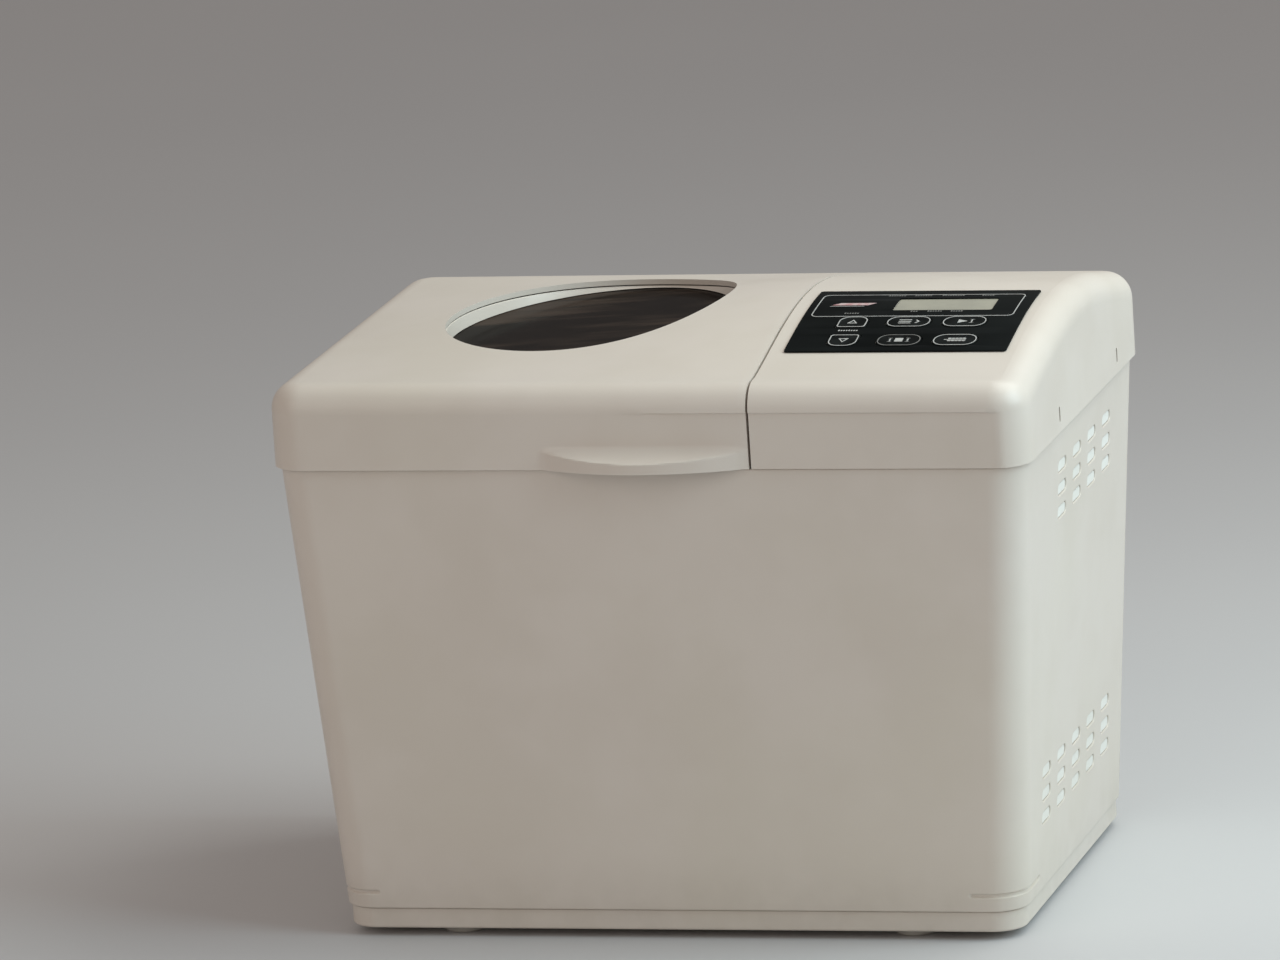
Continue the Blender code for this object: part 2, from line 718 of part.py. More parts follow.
def window_plate(name, outlines, thickness, drop):
    """A plate parallel to the glass, its upper face drop below the glass's upper face."""
    tilt = Matrix.Rotation(-math.atan(WINDOW_SLOPE), 4, "Y")
    middle = Vector((WINDOW_X, WINDOW_Y, glass_height(WINDOW_X)))
    place = Matrix.Translation(middle) @ tilt @ Matrix.Translation((0, 0, -drop - thickness / 2))
    return plate(name, outlines, thickness, place)


def build_window():
    """Glass, its recess wall and the ring that holds it from below."""
    half = (WINDOW_HALF_X + WINDOW_LAP, WINDOW_HALF_Y + WINDOW_LAP)
    glass = window_plate("window_glass", [ellipse(*half)], GLASS_THICKNESS, 0.0)
    add_part("window_glass", glass, SMOKED_GLASS)
    outer = ellipse(half[0] + 0.004, half[1] + 0.004)
    inner = ellipse(half[0] - 0.007, half[1] - 0.007)
    ring = window_plate("window_retainer", [outer, inner], RETAINER_THICKNESS, GLASS_THICKNESS + GAP)
    add_part("window_retainer", ring, DARK_PLASTIC)
    steps = 36
    bm = bmesh.new()
    loops = []
    for grow, is_top in ((0.0, False), (0.0, True), (BEZEL_WALL, True), (BEZEL_WALL, False)):
        loop = []
        for x, y in ellipse(WINDOW_HALF_X + grow, WINDOW_HALF_Y + grow, steps, (WINDOW_X, WINDOW_Y)):
            top = top_height(x, y) - LID_WALL - 2 * GAP
            loop.append(bm.verts.new((x, y, top if is_top else glass_height(x) + GAP)))
        loops.append(loop)
    for first, second in zip(loops, loops[1:] + loops[:1]):
        for i in range(steps):
            j = (i + 1) % steps
            bm.faces.new((first[i], first[j], second[j], second[i]))
    add_part("window_bezel", finish_mesh("window_bezel", bm), IVORY)


def build_liner():
    """Thin inner skin of the lid with a clear opening round the window."""
    ends = (LID_X - LINER_INSET, -COVER_WIDTH / 2)
    skin = arched_skin("lid_liner", *ends, LINER_INSET, LINER_BACK_INSET, rows=8, columns=4, turns=2)
    liner = add_part("lid_liner", skin, STEEL)
    thicken(liner, LINER_WALL)
    half = (WINDOW_HALF_X + WINDOW_LAP + 0.0055, WINDOW_HALF_Y + WINDOW_LAP + 0.0055)
    pierce(liner, "liner_hole", ellipse(*half, centre=(WINDOW_X, WINDOW_Y)), COVER_TOP)


def build_hinges():
    """Two brackets that stand on the deck, and their pins."""
    for side, deck_lug, lid_lug in hinge_places():
        low = (deck_lug[0], HINGE_Y - 0.0095, DECK_TOP + GAP)
        high = (deck_lug[1], HINGE_Y - 0.0010, COVER_BOTTOM + 0.0040)
        bracket = add_part(f"hinge_bracket_{side}", block(f"hinge_bracket_{side}", low, high), ZINC)
        low = (deck_lug[0], HINGE_Y - 0.004, COVER_BOTTOM + 0.0008)
        high = (deck_lug[1], HINGE_Y + 0.0033, HINGE_Z + 0.004)
        fuse(bracket, f"lug_{side}", block(f"lug_{side}", low, high))
        ends = (deck_lug[0] - 0.001, HINGE_Y, HINGE_Z), (deck_lug[1] + 0.001, HINGE_Y, HINGE_Z)
        carve(bracket, f"bore_{side}", rod(f"bore_{side}", PIN_RADIUS + GAP, *ends, segments=16))
        first = (min(deck_lug[0], lid_lug[0]) + 0.0002, HINGE_Y, HINGE_Z)
        last = (max(deck_lug[1], lid_lug[1]) - 0.0002, HINGE_Y, HINGE_Z)
        add_part(f"hinge_pin_{side}", rod(f"hinge_pin_{side}", PIN_RADIUS, first, last, segments=16), STEEL)


# Control cover ------------------------------------------------------------------------------------


def oval_key(width, depth):
    """Outline of a rounded program key."""
    return round_rectangle((-width / 2, -depth / 2), (width / 2, depth / 2), depth / 2 - 0.0004, steps=4)


def timer_key(width, depth, upward):
    """Outline of a timer key, with one wide-rounded side."""
    wide = depth * 0.42
    tight = depth * 0.12
    points = arc((width / 2 - tight, -depth / 2 + tight), tight, -90, 0, 1)
    points += arc((width / 2 - wide, depth / 2 - wide), wide, 0, 90, 3)
    points += arc((-width / 2 + wide, depth / 2 - wide), wide, 90, 180, 3)
    points += arc((-width / 2 + tight, -depth / 2 + tight), tight, 180, 270, 1)
    return points if upward else [(-x, -y) for x, y in points]


def key_layout():
    """Name, plan place and outline maker of each key."""
    names = (("key_timer_down", "key_stop", "key_grain"), ("key_timer_up", "key_select", "key_start"))
    keys = []
    for row, row_names in enumerate(names):
        for column, name in enumerate(row_names):
            x = OVERLAY_X + KEY_COLUMNS[column]
            y = OVERLAY_Y + KEY_ROWS[row]
            keys.append((name, x, y, column == 0, row == 1))
    return keys


def key_outline(is_timer, upward, grow=0.0):
    """Outline of one key, grown for its hole."""
    if is_timer:
        return timer_key(TIMER_KEY_WIDTH + 2 * grow, TIMER_KEY_DEPTH + 2 * grow, upward)
    return oval_key(KEY_WIDTH + 2 * grow, KEY_DEPTH + 2 * grow)


def lcd_window(grow=0.0):
    """Outline of the display opening in its own flat frame, grown on each side."""
    half = (LCD_SIZE[0] / 2 + grow, LCD_SIZE[1] / 2 + grow)
    return round_rectangle((-half[0], -half[1]), half, 0.0008 + grow, steps=2)


def lcd_place(lift):
    """Frame at the middle of the display."""
    x = OVERLAY_X + LCD_OFFSET[0] + LCD_SIZE[0] / 2
    y = OVERLAY_Y + LCD_OFFSET[1] + LCD_SIZE[1] / 2
    return control_place(x, y, lift)


def overlay_mesh():
    """Thin sheet that follows the arched surface under a rectangle."""
    rows = 8
    bm = bmesh.new()
    lines = []
    for row in range(rows + 1):
        y = OVERLAY_Y + OVERLAY_DEPTH * row / rows
        z = top_height(CONTROL_X, y) + GAP + OVERLAY_THICKNESS
        lines.append([bm.verts.new((x, y, z)) for x in (OVERLAY_X, OVERLAY_X + OVERLAY_WIDTH)])
    for first, second in zip(lines, lines[1:]):
        bm.faces.new((first[0], first[1], second[1], second[0]))
    bm.normal_update()
    mesh = bpy.data.meshes.new("control_overlay")
    bm.to_mesh(mesh)
    bm.free()
    return mesh


def build_control_cover():
    """Fixed cover on the right with openings for the keys and the display."""
    skin = arched_skin("control_housing", CONTROL_X, COVER_WIDTH / 2, columns=3)
    cover = add_part("control_housing", skin, IVORY)
    thicken(cover, LID_WALL)
    overlay = add_part("control_overlay", overlay_mesh(), OVERLAY_BLACK)
    thicken(overlay, OVERLAY_THICKNESS)
    for name, x, y, is_timer, upward in key_layout():
        outline = key_outline(is_timer, upward, KEY_CLEARANCE)
        tool = add_tool(f"hole_{name}", plate(f"hole_{name}", [outline], 0.02, control_place(x, y)))
        combine(cover, tool, "DIFFERENCE")
        combine(overlay, tool, "DIFFERENCE")
    window = add_tool("lcd_hole", plate("lcd_hole", [lcd_window(KEY_CLEARANCE)], 0.02, lcd_place(0.0)))
    combine(cover, window, "DIFFERENCE")
    combine(overlay, window, "DIFFERENCE")
    slots = []
    for y in (FRONT_Y + 0.074, FRONT_Y + 0.1975):
        low = (y - 0.0012, COVER_BOTTOM + 0.0045)
        slots.append(round_rectangle(low, (y + 0.0012, low[1] + 0.0075), 0.0011, steps=2))
    carve(cover, "side_slots", plate("side_slots", slots, 0.02, side_frame(COVER_WIDTH / 2)))


def build_keys():
    """Six key caps, each on its own frame that slides along the surface's normal."""
    for name, x, y, is_timer, upward in key_layout():
        top = GAP + OVERLAY_THICKNESS + 0.0002
        place = control_place(x, y, top - KEY_HEIGHT / 2)
        mesh = plate(name, [key_outline(is_timer, upward)], KEY_HEIGHT, Matrix.Identity(4))
        key = add_part(name, mesh, OVERLAY_BLACK)
        key.matrix_world = place


def build_display():
    """Display window, the module behind it, the control board and the sounder."""
    lens_thickness = 0.0030
    lens = plate("display_lens", [lcd_window()], lens_thickness, lcd_place(GAP - lens_thickness / 2))
    add_part("display_lens", lens, LCD_PALE)
    depth = 0.0028
    half = (LCD_SIZE[0] / 2 + 0.004, LCD_SIZE[1] / 2 + 0.004)
    module = block("display_module", (-half[0], -half[1], -depth / 2), (half[0], half[1], depth / 2), 0.0005)
    module.transform(lcd_place(-lens_thickness - 0.0004 - depth / 2))
    add_part("display_module", module, DARK_PLASTIC)
    middle_y = OVERLAY_Y + 0.0225
    half = (OVERLAY_WIDTH / 2 - 0.004, 0.0225)
    drop = BOARD_DROP + BOARD_THICKNESS
    board = block("control_board", (-half[0], -half[1], -drop), (half[0], half[1], -BOARD_DROP))
    board.transform(control_place(OVERLAY_X + OVERLAY_WIDTH / 2, middle_y))
    add_part("control_board", board, BOARD_GREEN)
    place = control_place(OVERLAY_X + 0.018, middle_y - 0.006, -drop - GAP)
    buzzer = rod("sounder", 0.008, (0, 0, -0.007), (0, 0, 0), segments=24)
    buzzer.transform(place)
    add_part("sounder", buzzer, DARK_PLASTIC)


# Deck, chamber and pan ----------------------------------------------------------------------------


def chamber_rectangle(grow):
    """Two plan corners of the chamber, grown outwards."""
    return (CHAMBER_LEFT - grow, CHAMBER_FRONT - grow), (CHAMBER_RIGHT + grow, CHAMBER_BACK + grow)


def build_deck():
    """Frame that fills the housing's mouth, open over the chamber and the electronics."""
    low, high = case_corners(DECK_BOTTOM, DECK_TOP, BODY_WALL + DECK_CLEARANCE)
    corner = BODY_CORNER - BODY_WALL - DECK_CLEARANCE
    deck = add_part("deck_frame", upright("deck_frame", low, high, corner), IVORY)
    low, high = chamber_rectangle(CHAMBER_WALL + DECK_CLEARANCE)
    pierce(deck, "deck_mouth", round_rectangle(low, high, CHAMBER_CORNER), DECK_TOP)
    low = (CONTROL_X + 0.012, CHAMBER_FRONT + 0.004)
    high = (BODY_HALF_X - 0.020, CHAMBER_BACK - 0.004)
    pierce(deck, "wiring_hole", round_rectangle(low, high, 0.01), DECK_TOP)


def build_chamber():
    """Deep sheet-metal box hung in the deck by its flange."""
    low, high = chamber_rectangle(CHAMBER_WALL)
    top = DECK_TOP + GAP + FLANGE_THICKNESS - 0.0001
    mesh = upright("baking_chamber", (*low, CHAMBER_Z), (*high, top), CHAMBER_CORNER, open_ends=("top",))
    chamber = add_part("baking_chamber", mesh, STEEL)
    thicken(chamber, CHAMBER_WALL)
    floor = (PAN_X, PAN_Y, CHAMBER_Z - 0.01), (PAN_X, PAN_Y, CHAMBER_FLOOR + 0.01)
    carve(chamber, "shaft_hole", rod("shaft_hole", SHAFT_RADIUS + 0.002, *floor))
    for side in (-1, 1):
        y = PAN_Y + side * ELEMENT_TERMINAL
        z = CHAMBER_FLOOR + ELEMENT_RISE
        ends = (CHAMBER_RIGHT - 0.01, y, z), (CHAMBER_RIGHT + 0.01, y, z)
        name = f"terminal_hole_{side}"
        carve(chamber, name, rod(name, ELEMENT_RADIUS + 0.0012, *ends, segments=16))
    ends = (CHAMBER_RIGHT - 0.01, PAN_Y, PROBE_Z), (CHAMBER_RIGHT + 0.01, PAN_Y, PROBE_Z)
    carve(chamber, "probe_hole", rod("probe_hole", 0.0035, *ends, segments=16))
    flange_low, flange_high = chamber_rectangle(CHAMBER_WALL + CHAMBER_FLANGE)
    inner_low, inner_high = chamber_rectangle(CHAMBER_WALL * 0.4)
    outlines = [
        round_rectangle(flange_low, flange_high, CHAMBER_CORNER + CHAMBER_FLANGE),
        round_rectangle(inner_low, inner_high, CHAMBER_CORNER - CHAMBER_WALL * 0.6),
    ]
    place = Matrix.Translation((0, 0, DECK_TOP + GAP + FLANGE_THICKNESS / 2))
    fuse(chamber, "chamber_flange", plate("chamber_flange", outlines, FLANGE_THICKNESS, place))


def build_element():
    """Tubular heater round the pan's foot, with three saddle clips."""
    z = CHAMBER_FLOOR + ELEMENT_RISE
    left = CHAMBER_LEFT + ELEMENT_INSET
    right = CHAMBER_RIGHT - ELEMENT_INSET
    front = CHAMBER_FRONT + ELEMENT_INSET
    back = CHAMBER_BACK - ELEMENT_INSET
    outside = CHAMBER_RIGHT + ELEMENT_INSET
    corners = [
        (outside, PAN_Y + ELEMENT_TERMINAL, z),
        (right, PAN_Y + ELEMENT_TERMINAL, z),
        (right, back, z),
        (left, back, z),
        (left, front, z),
        (right, front, z),
        (right, PAN_Y - ELEMENT_TERMINAL, z),
        (outside, PAN_Y - ELEMENT_TERMINAL, z),
    ]
    path = fillet_path(corners, 0.009)
    add_part("heating_element", wire("heating_element", path, ELEMENT_RADIUS), DARK_PLASTIC)
    places = {
        "element_clip_left": ((left, PAN_Y), "Y"),
        "element_clip_front": ((PAN_X, front), "X"),
        "element_clip_rear": ((PAN_X, back), "X"),
    }
    for name, ((x, y), along) in places.items():
        half = (0.0030, 0.0050) if along == "X" else (0.0050, 0.0030)
        low = (x - half[0], y - half[1], CHAMBER_FLOOR + GAP)
        clip = add_part(name, block(name, low, (x + half[0], y + half[1], z + 0.0015)), ZINC)
        run = Vector((0.02, 0, 0)) if along == "X" else Vector((0, 0.02, 0))
        middle = Vector((x, y, z))
        saddle = rod(f"{name}_saddle", ELEMENT_RADIUS + 0.0005, middle - run, middle + run)
        carve(clip, f"{name}_saddle", saddle)


def build_sensors():
    """Temperature probe through the chamber's side and the thermal fuse outside it."""
    stem = [(0.0, 0.010), (0.003, 0.010), (0.003, -0.0013)]
    head = [(0.006, -0.0013), (0.006, -0.0050), (0.0, -0.0050)]
    place = (CHAMBER_RIGHT, PAN_Y, PROBE_Z)
    probe = add_turned("temperature_probe", stem + head, place, BRASS, closed=False)
    probe.rotation_euler = (0.0, math.radians(-90), 0.0)
    upper = [(0.0, 0.014), (0.0015, 0.014), (FUSE_RADIUS, 0.011)]
    profile = upper + [(radius, -height) for radius, height in reversed(upper)]
    x = CHAMBER_RIGHT + CHAMBER_WALL + FUSE_RADIUS + 2 * GAP
    add_turned("thermal_fuse", profile, (x, PAN_Y + 0.045, PROBE_Z), ALUMINIUM, closed=False, steps=16)


def pan_outline(grow):
    """Plan outline of the pan's mouth, grown outwards."""
    low = (PAN_X - PAN_HALF_X - grow, PAN_Y - PAN_HALF_Y - grow)
    high = (PAN_X + PAN_HALF_X + grow, PAN_Y + PAN_HALF_Y + grow)
    return round_rectangle(low, high, PAN_CORNER + grow)


def build_pan():
    """Non-stick pan with a rolled rim, two handle ears and a foot ring."""
    low = (PAN_X - PAN_HALF_X, PAN_Y - PAN_HALF_Y, PAN_Z)
    high = (PAN_X + PAN_HALF_X, PAN_Y + PAN_HALF_Y, PAN_RIM_Z)
    mesh = upright("bread_pan", low, high, PAN_CORNER, (0.003, 0.003), open_ends=("top",))
    pan = add_part("bread_pan", mesh, NONSTICK)
    thicken(pan, PAN_WALL)
    outer = pan_outline(PAN_RIM)
    inner = pan_outline(-PAN_WALL / 2)
    rim = plate("pan_rim", [outer, inner], 0.0020, Matrix.Translation((0, 0, PAN_RIM_Z - 0.0009)))
    fuse(pan, "pan_rim", rim)
    for name, side in (("ear_left", -1), ("ear_right", 1)):
        x = PAN_X + side * (PAN_HALF_X + PAN_RIM)
        low = (x - 0.0015, PAN_Y - 0.008, PAN_RIM_Z - 0.0015)
        high = (x + 0.0015, PAN_Y + 0.008, HANDLE_Z + 0.0045)
        fuse(pan, name, block(name, low, high))
        ends = (x - 0.004, PAN_Y, HANDLE_Z), (x + 0.004, PAN_Y, HANDLE_Z)
        carve(pan, f"{name}_hole", rod(f"{name}_hole", HANDLE_WIRE + GAP, *ends, segments=16))
    foot = pan_foot_ring()
    fuse(pan, "pan_foot", foot)
    ends = (PAN_X, PAN_Y, PAN_Z - 0.01), (PAN_X, PAN_Y, PAN_FLOOR + 0.01)
    carve(pan, "bush_hole", rod("bush_hole", BUSH_RADIUS + GAP, *ends))


def pan_foot_ring():
    """Round foot under the pan that drops into the socket."""
    inner, outer = FOOT_RING
    steps = 24
    outlines = [ellipse(outer, outer, steps), ellipse(inner, inner, steps)]
    bottom = CHAMBER_FLOOR + 0.0022
    top = PAN_Z + PAN_WALL / 2
    return plate("pan_foot", outlines, top - bottom, Matrix.Translation((PAN_X, PAN_Y, (top + bottom) / 2)))


def build_handle():
    """Wire bail that lies over the pan's front half and turns in the ears."""
    reach_x = PAN_HALF_X + PAN_RIM + 0.0055
    reach_y = PAN_HALF_Y - 0.012
    inner_x = PAN_HALF_X + PAN_RIM - 0.0035
    corners = [
        (-inner_x, 0.0, 0.0),
        (-reach_x, 0.0, 0.0),
        (-reach_x, -reach_y, 0.0),
        (reach_x, -reach_y, 0.0),
        (reach_x, 0.0, 0.0),
        (inner_x, 0.0, 0.0),
    ]
    path = [corners[0], corners[1]] + fillet_path(corners[1:5], 0.016)[1:-1] + [corners[4], corners[5]]
    path = [Vector(point) for point in path]
    handle = add_part("pan_handle", wire("pan_handle", path, HANDLE_WIRE), STEEL)
    handle.location = (PAN_X, PAN_Y, HANDLE_Z)


def build_socket():
    """Ring on the chamber's floor that locates the pan."""
    inner = FOOT_RING[1] + 0.0008
    outer = inner + 0.005
    bottom = GAP
    profile = [(outer, SOCKET_HEIGHT), (outer, bottom), (inner, bottom), (inner, SOCKET_HEIGHT)]
    add_turned("pan_socket", profile, (PAN_X, PAN_Y, CHAMBER_FLOOR), ALUMINIUM)


def build_kneader():
    """Pan shaft in its bush, the coupling under the pan and the paddle on top."""
    base = Vector((PAN_X, PAN_Y, 0.0))
    start = base + Vector((0, 0, PAN_Z - 0.0045))
    shaft = rod("pan_shaft", SHAFT_RADIUS, start, base + Vector((0, 0, PAN_FLOOR + 0.026)))
    add_part("pan_shaft", shaft, STEEL)
    profile = [
        (BUSH_RADIUS, 0.0025 + PAN_WALL),
        (BUSH_RADIUS, 0.0 - GAP),
        (BUSH_RADIUS + 0.003, 0.0 - GAP),
        (BUSH_RADIUS + 0.003, -0.0020),
        (SHAFT_FIT, -0.0020),
        (SHAFT_FIT, 0.0025 + PAN_WALL),
    ]
    add_turned("pan_bush", profile, (PAN_X, PAN_Y, PAN_Z), BRASS)
    hub_low = PAN_FLOOR + 0.0036
    profile = [(0.0085, 0.0220), (0.0105, 0.0), (SHAFT_GRIP, 0.0), (SHAFT_GRIP, 0.0220)]
    paddle = add_turned("kneading_paddle", profile, (PAN_X, PAN_Y, hub_low), NONSTICK)
    reach = min(PAN_HALF_X, PAN_HALF_Y) - PADDLE_CLEARANCE
    span = reach - BLADE_ROOT
    blade = [
        (BLADE_ROOT, 0.001),
        (reach - span * 0.05, 0.001),
        (reach, BLADE_HEIGHT * 0.2),
        (reach - span * 0.17, BLADE_HEIGHT * 0.83),
        (reach - span * 0.43, BLADE_HEIGHT),
        (BLADE_ROOT, BLADE_HEIGHT * 0.62),
    ]
    upright_face = Matrix(((1, 0, 0), (0, 0, -1), (0, 1, 0))).to_4x4()
    place = Matrix.Translation((PAN_X, PAN_Y, hub_low)) @ upright_face
    fuse(paddle, "paddle_blade", plate("paddle_blade", [blade], BLADE_THICKNESS, place))


def coupling(name, disc_low, disc_high, dog_low, dog_high, angle, finish):
    """A disc on a shaft with two driving dogs."""
    profile = [(0.0135, disc_high), (0.0135, disc_low), (SHAFT_GRIP, disc_low), (SHAFT_GRIP, disc_high)]
    part = add_turned(name, profile, (PAN_X, PAN_Y, 0.0), finish)
    turn = Matrix.Translation((PAN_X, PAN_Y, 0.0)) @ Matrix.Rotation(math.radians(angle), 4, "Z")
    for side in (-1, 1):
        low = (min(side * 0.0065, side * 0.0125), -0.0022, dog_low)
        high = (max(side * 0.0065, side * 0.0125), 0.0022, dog_high)
        dog_name = f"{name}_dog_{side}"
        mesh = block(dog_name, low, high)
        mesh.transform(turn)
        fuse(part, dog_name, mesh)


def build_couplings():
    """Upper coupling on the pan shaft and lower coupling on the drive shaft, dogs crossed."""
    top = PAN_Z - 0.0028
    coupling("pan_coupling", top - 0.0030, top, top - 0.0078, top - 0.0020, 90, ALUMINIUM)
    low = CHAMBER_FLOOR + 0.0022
    coupling("drive_coupling", low, low + 0.0030, low + 0.0020, low + 0.0075, 0, ALUMINIUM)


# Drive --------------------------------------------------------------------------------------------


def belt_outline(grow):
    """Line round both pulleys at their radii plus grow."""
    span = MOTOR_X - PAN_X
    lean = math.degrees(math.asin((PULLEY_RADIUS - MOTOR_PULLEY_RADIUS) / span))
    small = arc((MOTOR_X, MOTOR_Y), MOTOR_PULLEY_RADIUS + grow, -90 + lean, 90 - lean, 10)
    large = arc((PAN_X, PAN_Y), PULLEY_RADIUS + grow, 90 - lean, 270 + lean, 36)
    return small + large


def pulley_profile(radius, bore, height):
    """Flanged pulley section."""
    rim = 0.0018
    return [
        (radius + 0.002, height),
        (radius + 0.002, height - rim),
        (radius, height - rim),
        (radius, rim),
        (radius + 0.002, rim),
        (radius + 0.002, 0.0),
        (bore, 0.0),
        (bore, height),
    ]


def build_drive():
    """Drive shaft, bearing housing, pulleys and belt."""
    base = Vector((PAN_X, PAN_Y, 0.0))
    top = CHAMBER_FLOOR + 0.0095
    ends = base + Vector((0, 0, PULLEY_Z - 0.004)), base + Vector((0, 0, top))
    add_part("drive_shaft", rod("drive_shaft", SHAFT_RADIUS, *ends), STEEL)
    profile = [
        (0.011, BEARING_HEIGHT),
        (0.013, 0.0035),
        (0.024, 0.0035),
        (0.024, GAP),
        (SHAFT_FIT, GAP),
        (SHAFT_FIT, BEARING_HEIGHT),
    ]
    add_turned("bearing_housing", profile, (PAN_X, PAN_Y, CHASSIS_TOP), ZINC)
    large = pulley_profile(PULLEY_RADIUS, SHAFT_GRIP, PULLEY_HEIGHT)
    add_turned("large_pulley", large, (PAN_X, PAN_Y, PULLEY_Z), DARK_PLASTIC, steps=36)
    small = pulley_profile(MOTOR_PULLEY_RADIUS, SHAFT_GRIP, PULLEY_HEIGHT)
    add_turned("motor_pulley", small, (MOTOR_X, MOTOR_Y, PULLEY_Z), ALUMINIUM, steps=24)
    middle = PULLEY_Z + PULLEY_HEIGHT / 2
    outlines = [belt_outline(GAP + BELT_THICKNESS), belt_outline(GAP)]
    belt = plate("drive_belt", outlines, BELT_WIDTH, Matrix.Translation((0, 0, middle)))
    add_part("drive_belt", belt, RUBBER)


def build_motor():
    """Motor on its bracket, with its shaft down to the pulley, and the run capacitor."""
    bracket_low = CHASSIS_TOP + GAP
    low = (MOTOR_X - 0.038, MOTOR_Y - 0.038, bracket_low)
    high = (MOTOR_X + 0.038, MOTOR_Y + 0.038, bracket_low + 0.0025)
    bracket = add_part("motor_bracket", upright("motor_bracket", low, high, 0.008), ZINC)
    clear = 0.0065
    ends = (MOTOR_X, MOTOR_Y, bracket_low - 0.01), (MOTOR_X, MOTOR_Y, bracket_low + 0.01)
    carve(bracket, "bracket_hole", rod("bracket_hole", clear, *ends))
    motor_low = bracket_low + 0.0025 + GAP
    bell = 0.010
    profile = [
        (0.0, MOTOR_HEIGHT),
        (MOTOR_RADIUS * 0.55, MOTOR_HEIGHT),
        (MOTOR_RADIUS * 0.80, MOTOR_HEIGHT - bell),
        (MOTOR_RADIUS, MOTOR_HEIGHT - bell),
        (MOTOR_RADIUS, bell),
        (MOTOR_RADIUS * 0.80, bell),
        (MOTOR_RADIUS * 0.70, 0.0),
        (SHAFT_FIT, 0.0),
        (SHAFT_FIT, 0.008),
        (0.0, 0.008),
    ]
    add_turned("motor", profile, (MOTOR_X, MOTOR_Y, motor_low), ZINC, closed=False)
    ends = (MOTOR_X, MOTOR_Y, PULLEY_Z - 0.002), (MOTOR_X, MOTOR_Y, motor_low + 0.007)
    add_part("motor_shaft", rod("motor_shaft", SHAFT_RADIUS, *ends), STEEL)
    x = MOTOR_X + 0.022
    y = MOTOR_Y + 0.062
    ends = (x, y, CHASSIS_TOP + GAP), (x, y, CHASSIS_TOP + 0.052)
    add_part("run_capacitor", rod("run_capacitor", 0.0150, *ends, segments=28), ALUMINIUM)


def build_chassis():
    """Plate that carries the bearing, the motor and the electronics."""
    low, high = case_corners(CHASSIS_Z, CHASSIS_TOP, BODY_WALL + 0.003)
    chassis = add_part("chassis_plate", upright("chassis_plate", low, high, 0.013), ZINC)
    for name, x, y in (("bearing_hole", PAN_X, PAN_Y), ("motor_hole", MOTOR_X, MOTOR_Y)):
        ends = (x, y, CHASSIS_Z - 0.01), (x, y, CHASSIS_TOP + 0.01)
        carve(chassis, name, rod(name, SHAFT_RADIUS + 0.0025, *ends))


def build_electronics():
    """Power board in its tray, its transformer, and the shield beside the chamber."""
    low = (MOTOR_X - 0.036, MOTOR_Y - 0.094, CHASSIS_TOP + GAP)
    high = (MOTOR_X + 0.034, MOTOR_Y - 0.044, CHASSIS_TOP + 0.009)
    tray = add_part("power_tray", block("power_tray", low, high), DARK_PLASTIC)
    hollow_low = (low[0] + 0.0015, low[1] + 0.0015, low[2] + 0.0045)
    hollow_high = (high[0] - 0.0015, high[1] - 0.0015, high[2] + 0.01)
    carve(tray, "power_hollow", block("power_hollow", hollow_low, hollow_high))
    board_low = (hollow_low[0] + GAP, hollow_low[1] + GAP, hollow_low[2] + GAP)
    board_high = (hollow_high[0] - GAP, hollow_high[1] - GAP, board_low[2] + BOARD_THICKNESS)
    add_part("power_board", block("power_board", board_low, board_high), BOARD_GREEN)
    base = (board_low[0] + 0.006, board_low[1] + 0.008, board_high[2] + GAP)
    top = (base[0] + 0.034, base[1] + 0.028, base[2] + 0.026)
    add_part("transformer", block("transformer", base, top, 0.0015), COPPER)
    x = CHAMBER_RIGHT + 0.0165
    low = (x, CHAMBER_FRONT, CHASSIS_TOP + GAP)
    high = (x + 0.0010, CHAMBER_BACK, DECK_BOTTOM - 0.002)
    add_part("heat_shield", block("heat_shield", low, high), STEEL)


def build_gland():
    """Cord gland in the rear wall."""
    _, half_y = body_half(CORD_Z)
    outside = CASE_Y + half_y
    profile = [
        (0.0120, 0.0040),
        (0.0120, 0.0008),
        (0.0080, 0.0008),
        (0.0080, -0.0090),
        (0.0045, -0.0090),
        (0.0045, 0.0060),
        (0.0090, 0.0060),
    ]
    gland = add_turned("cord_gland", profile, (CORD_X, outside, CORD_Z), DARK_PLASTIC, steps=24)
    gland.rotation_euler = (math.radians(-90), 0.0, 0.0)


def build_machine():
    """Build every part."""
    build_housing()
    build_base()
    build_feet()
    build_lid()
    build_window()
    build_liner()
    build_hinges()
    build_control_cover()
    build_keys()
    build_display()
    build_deck()
    build_chamber()
    build_element()
    build_sensors()
    build_pan()
    build_handle()
    build_socket()
    build_kneader()
    build_couplings()
    build_drive()
    build_motor()
    build_chassis()
    build_electronics()
    build_gland()


build_machine()
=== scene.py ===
"""Looks of a countertop bread machine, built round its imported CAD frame.

Every place comes from the frame. Units are metres, +Z is up and the front faces -Y.
"""

import logging
import math
from dataclasses import dataclass, field
from enum import Enum
from functools import cache
from typing import Callable, Iterable, Optional, Sequence, Union

import bmesh
import bpy
from mathutils import Matrix, Vector


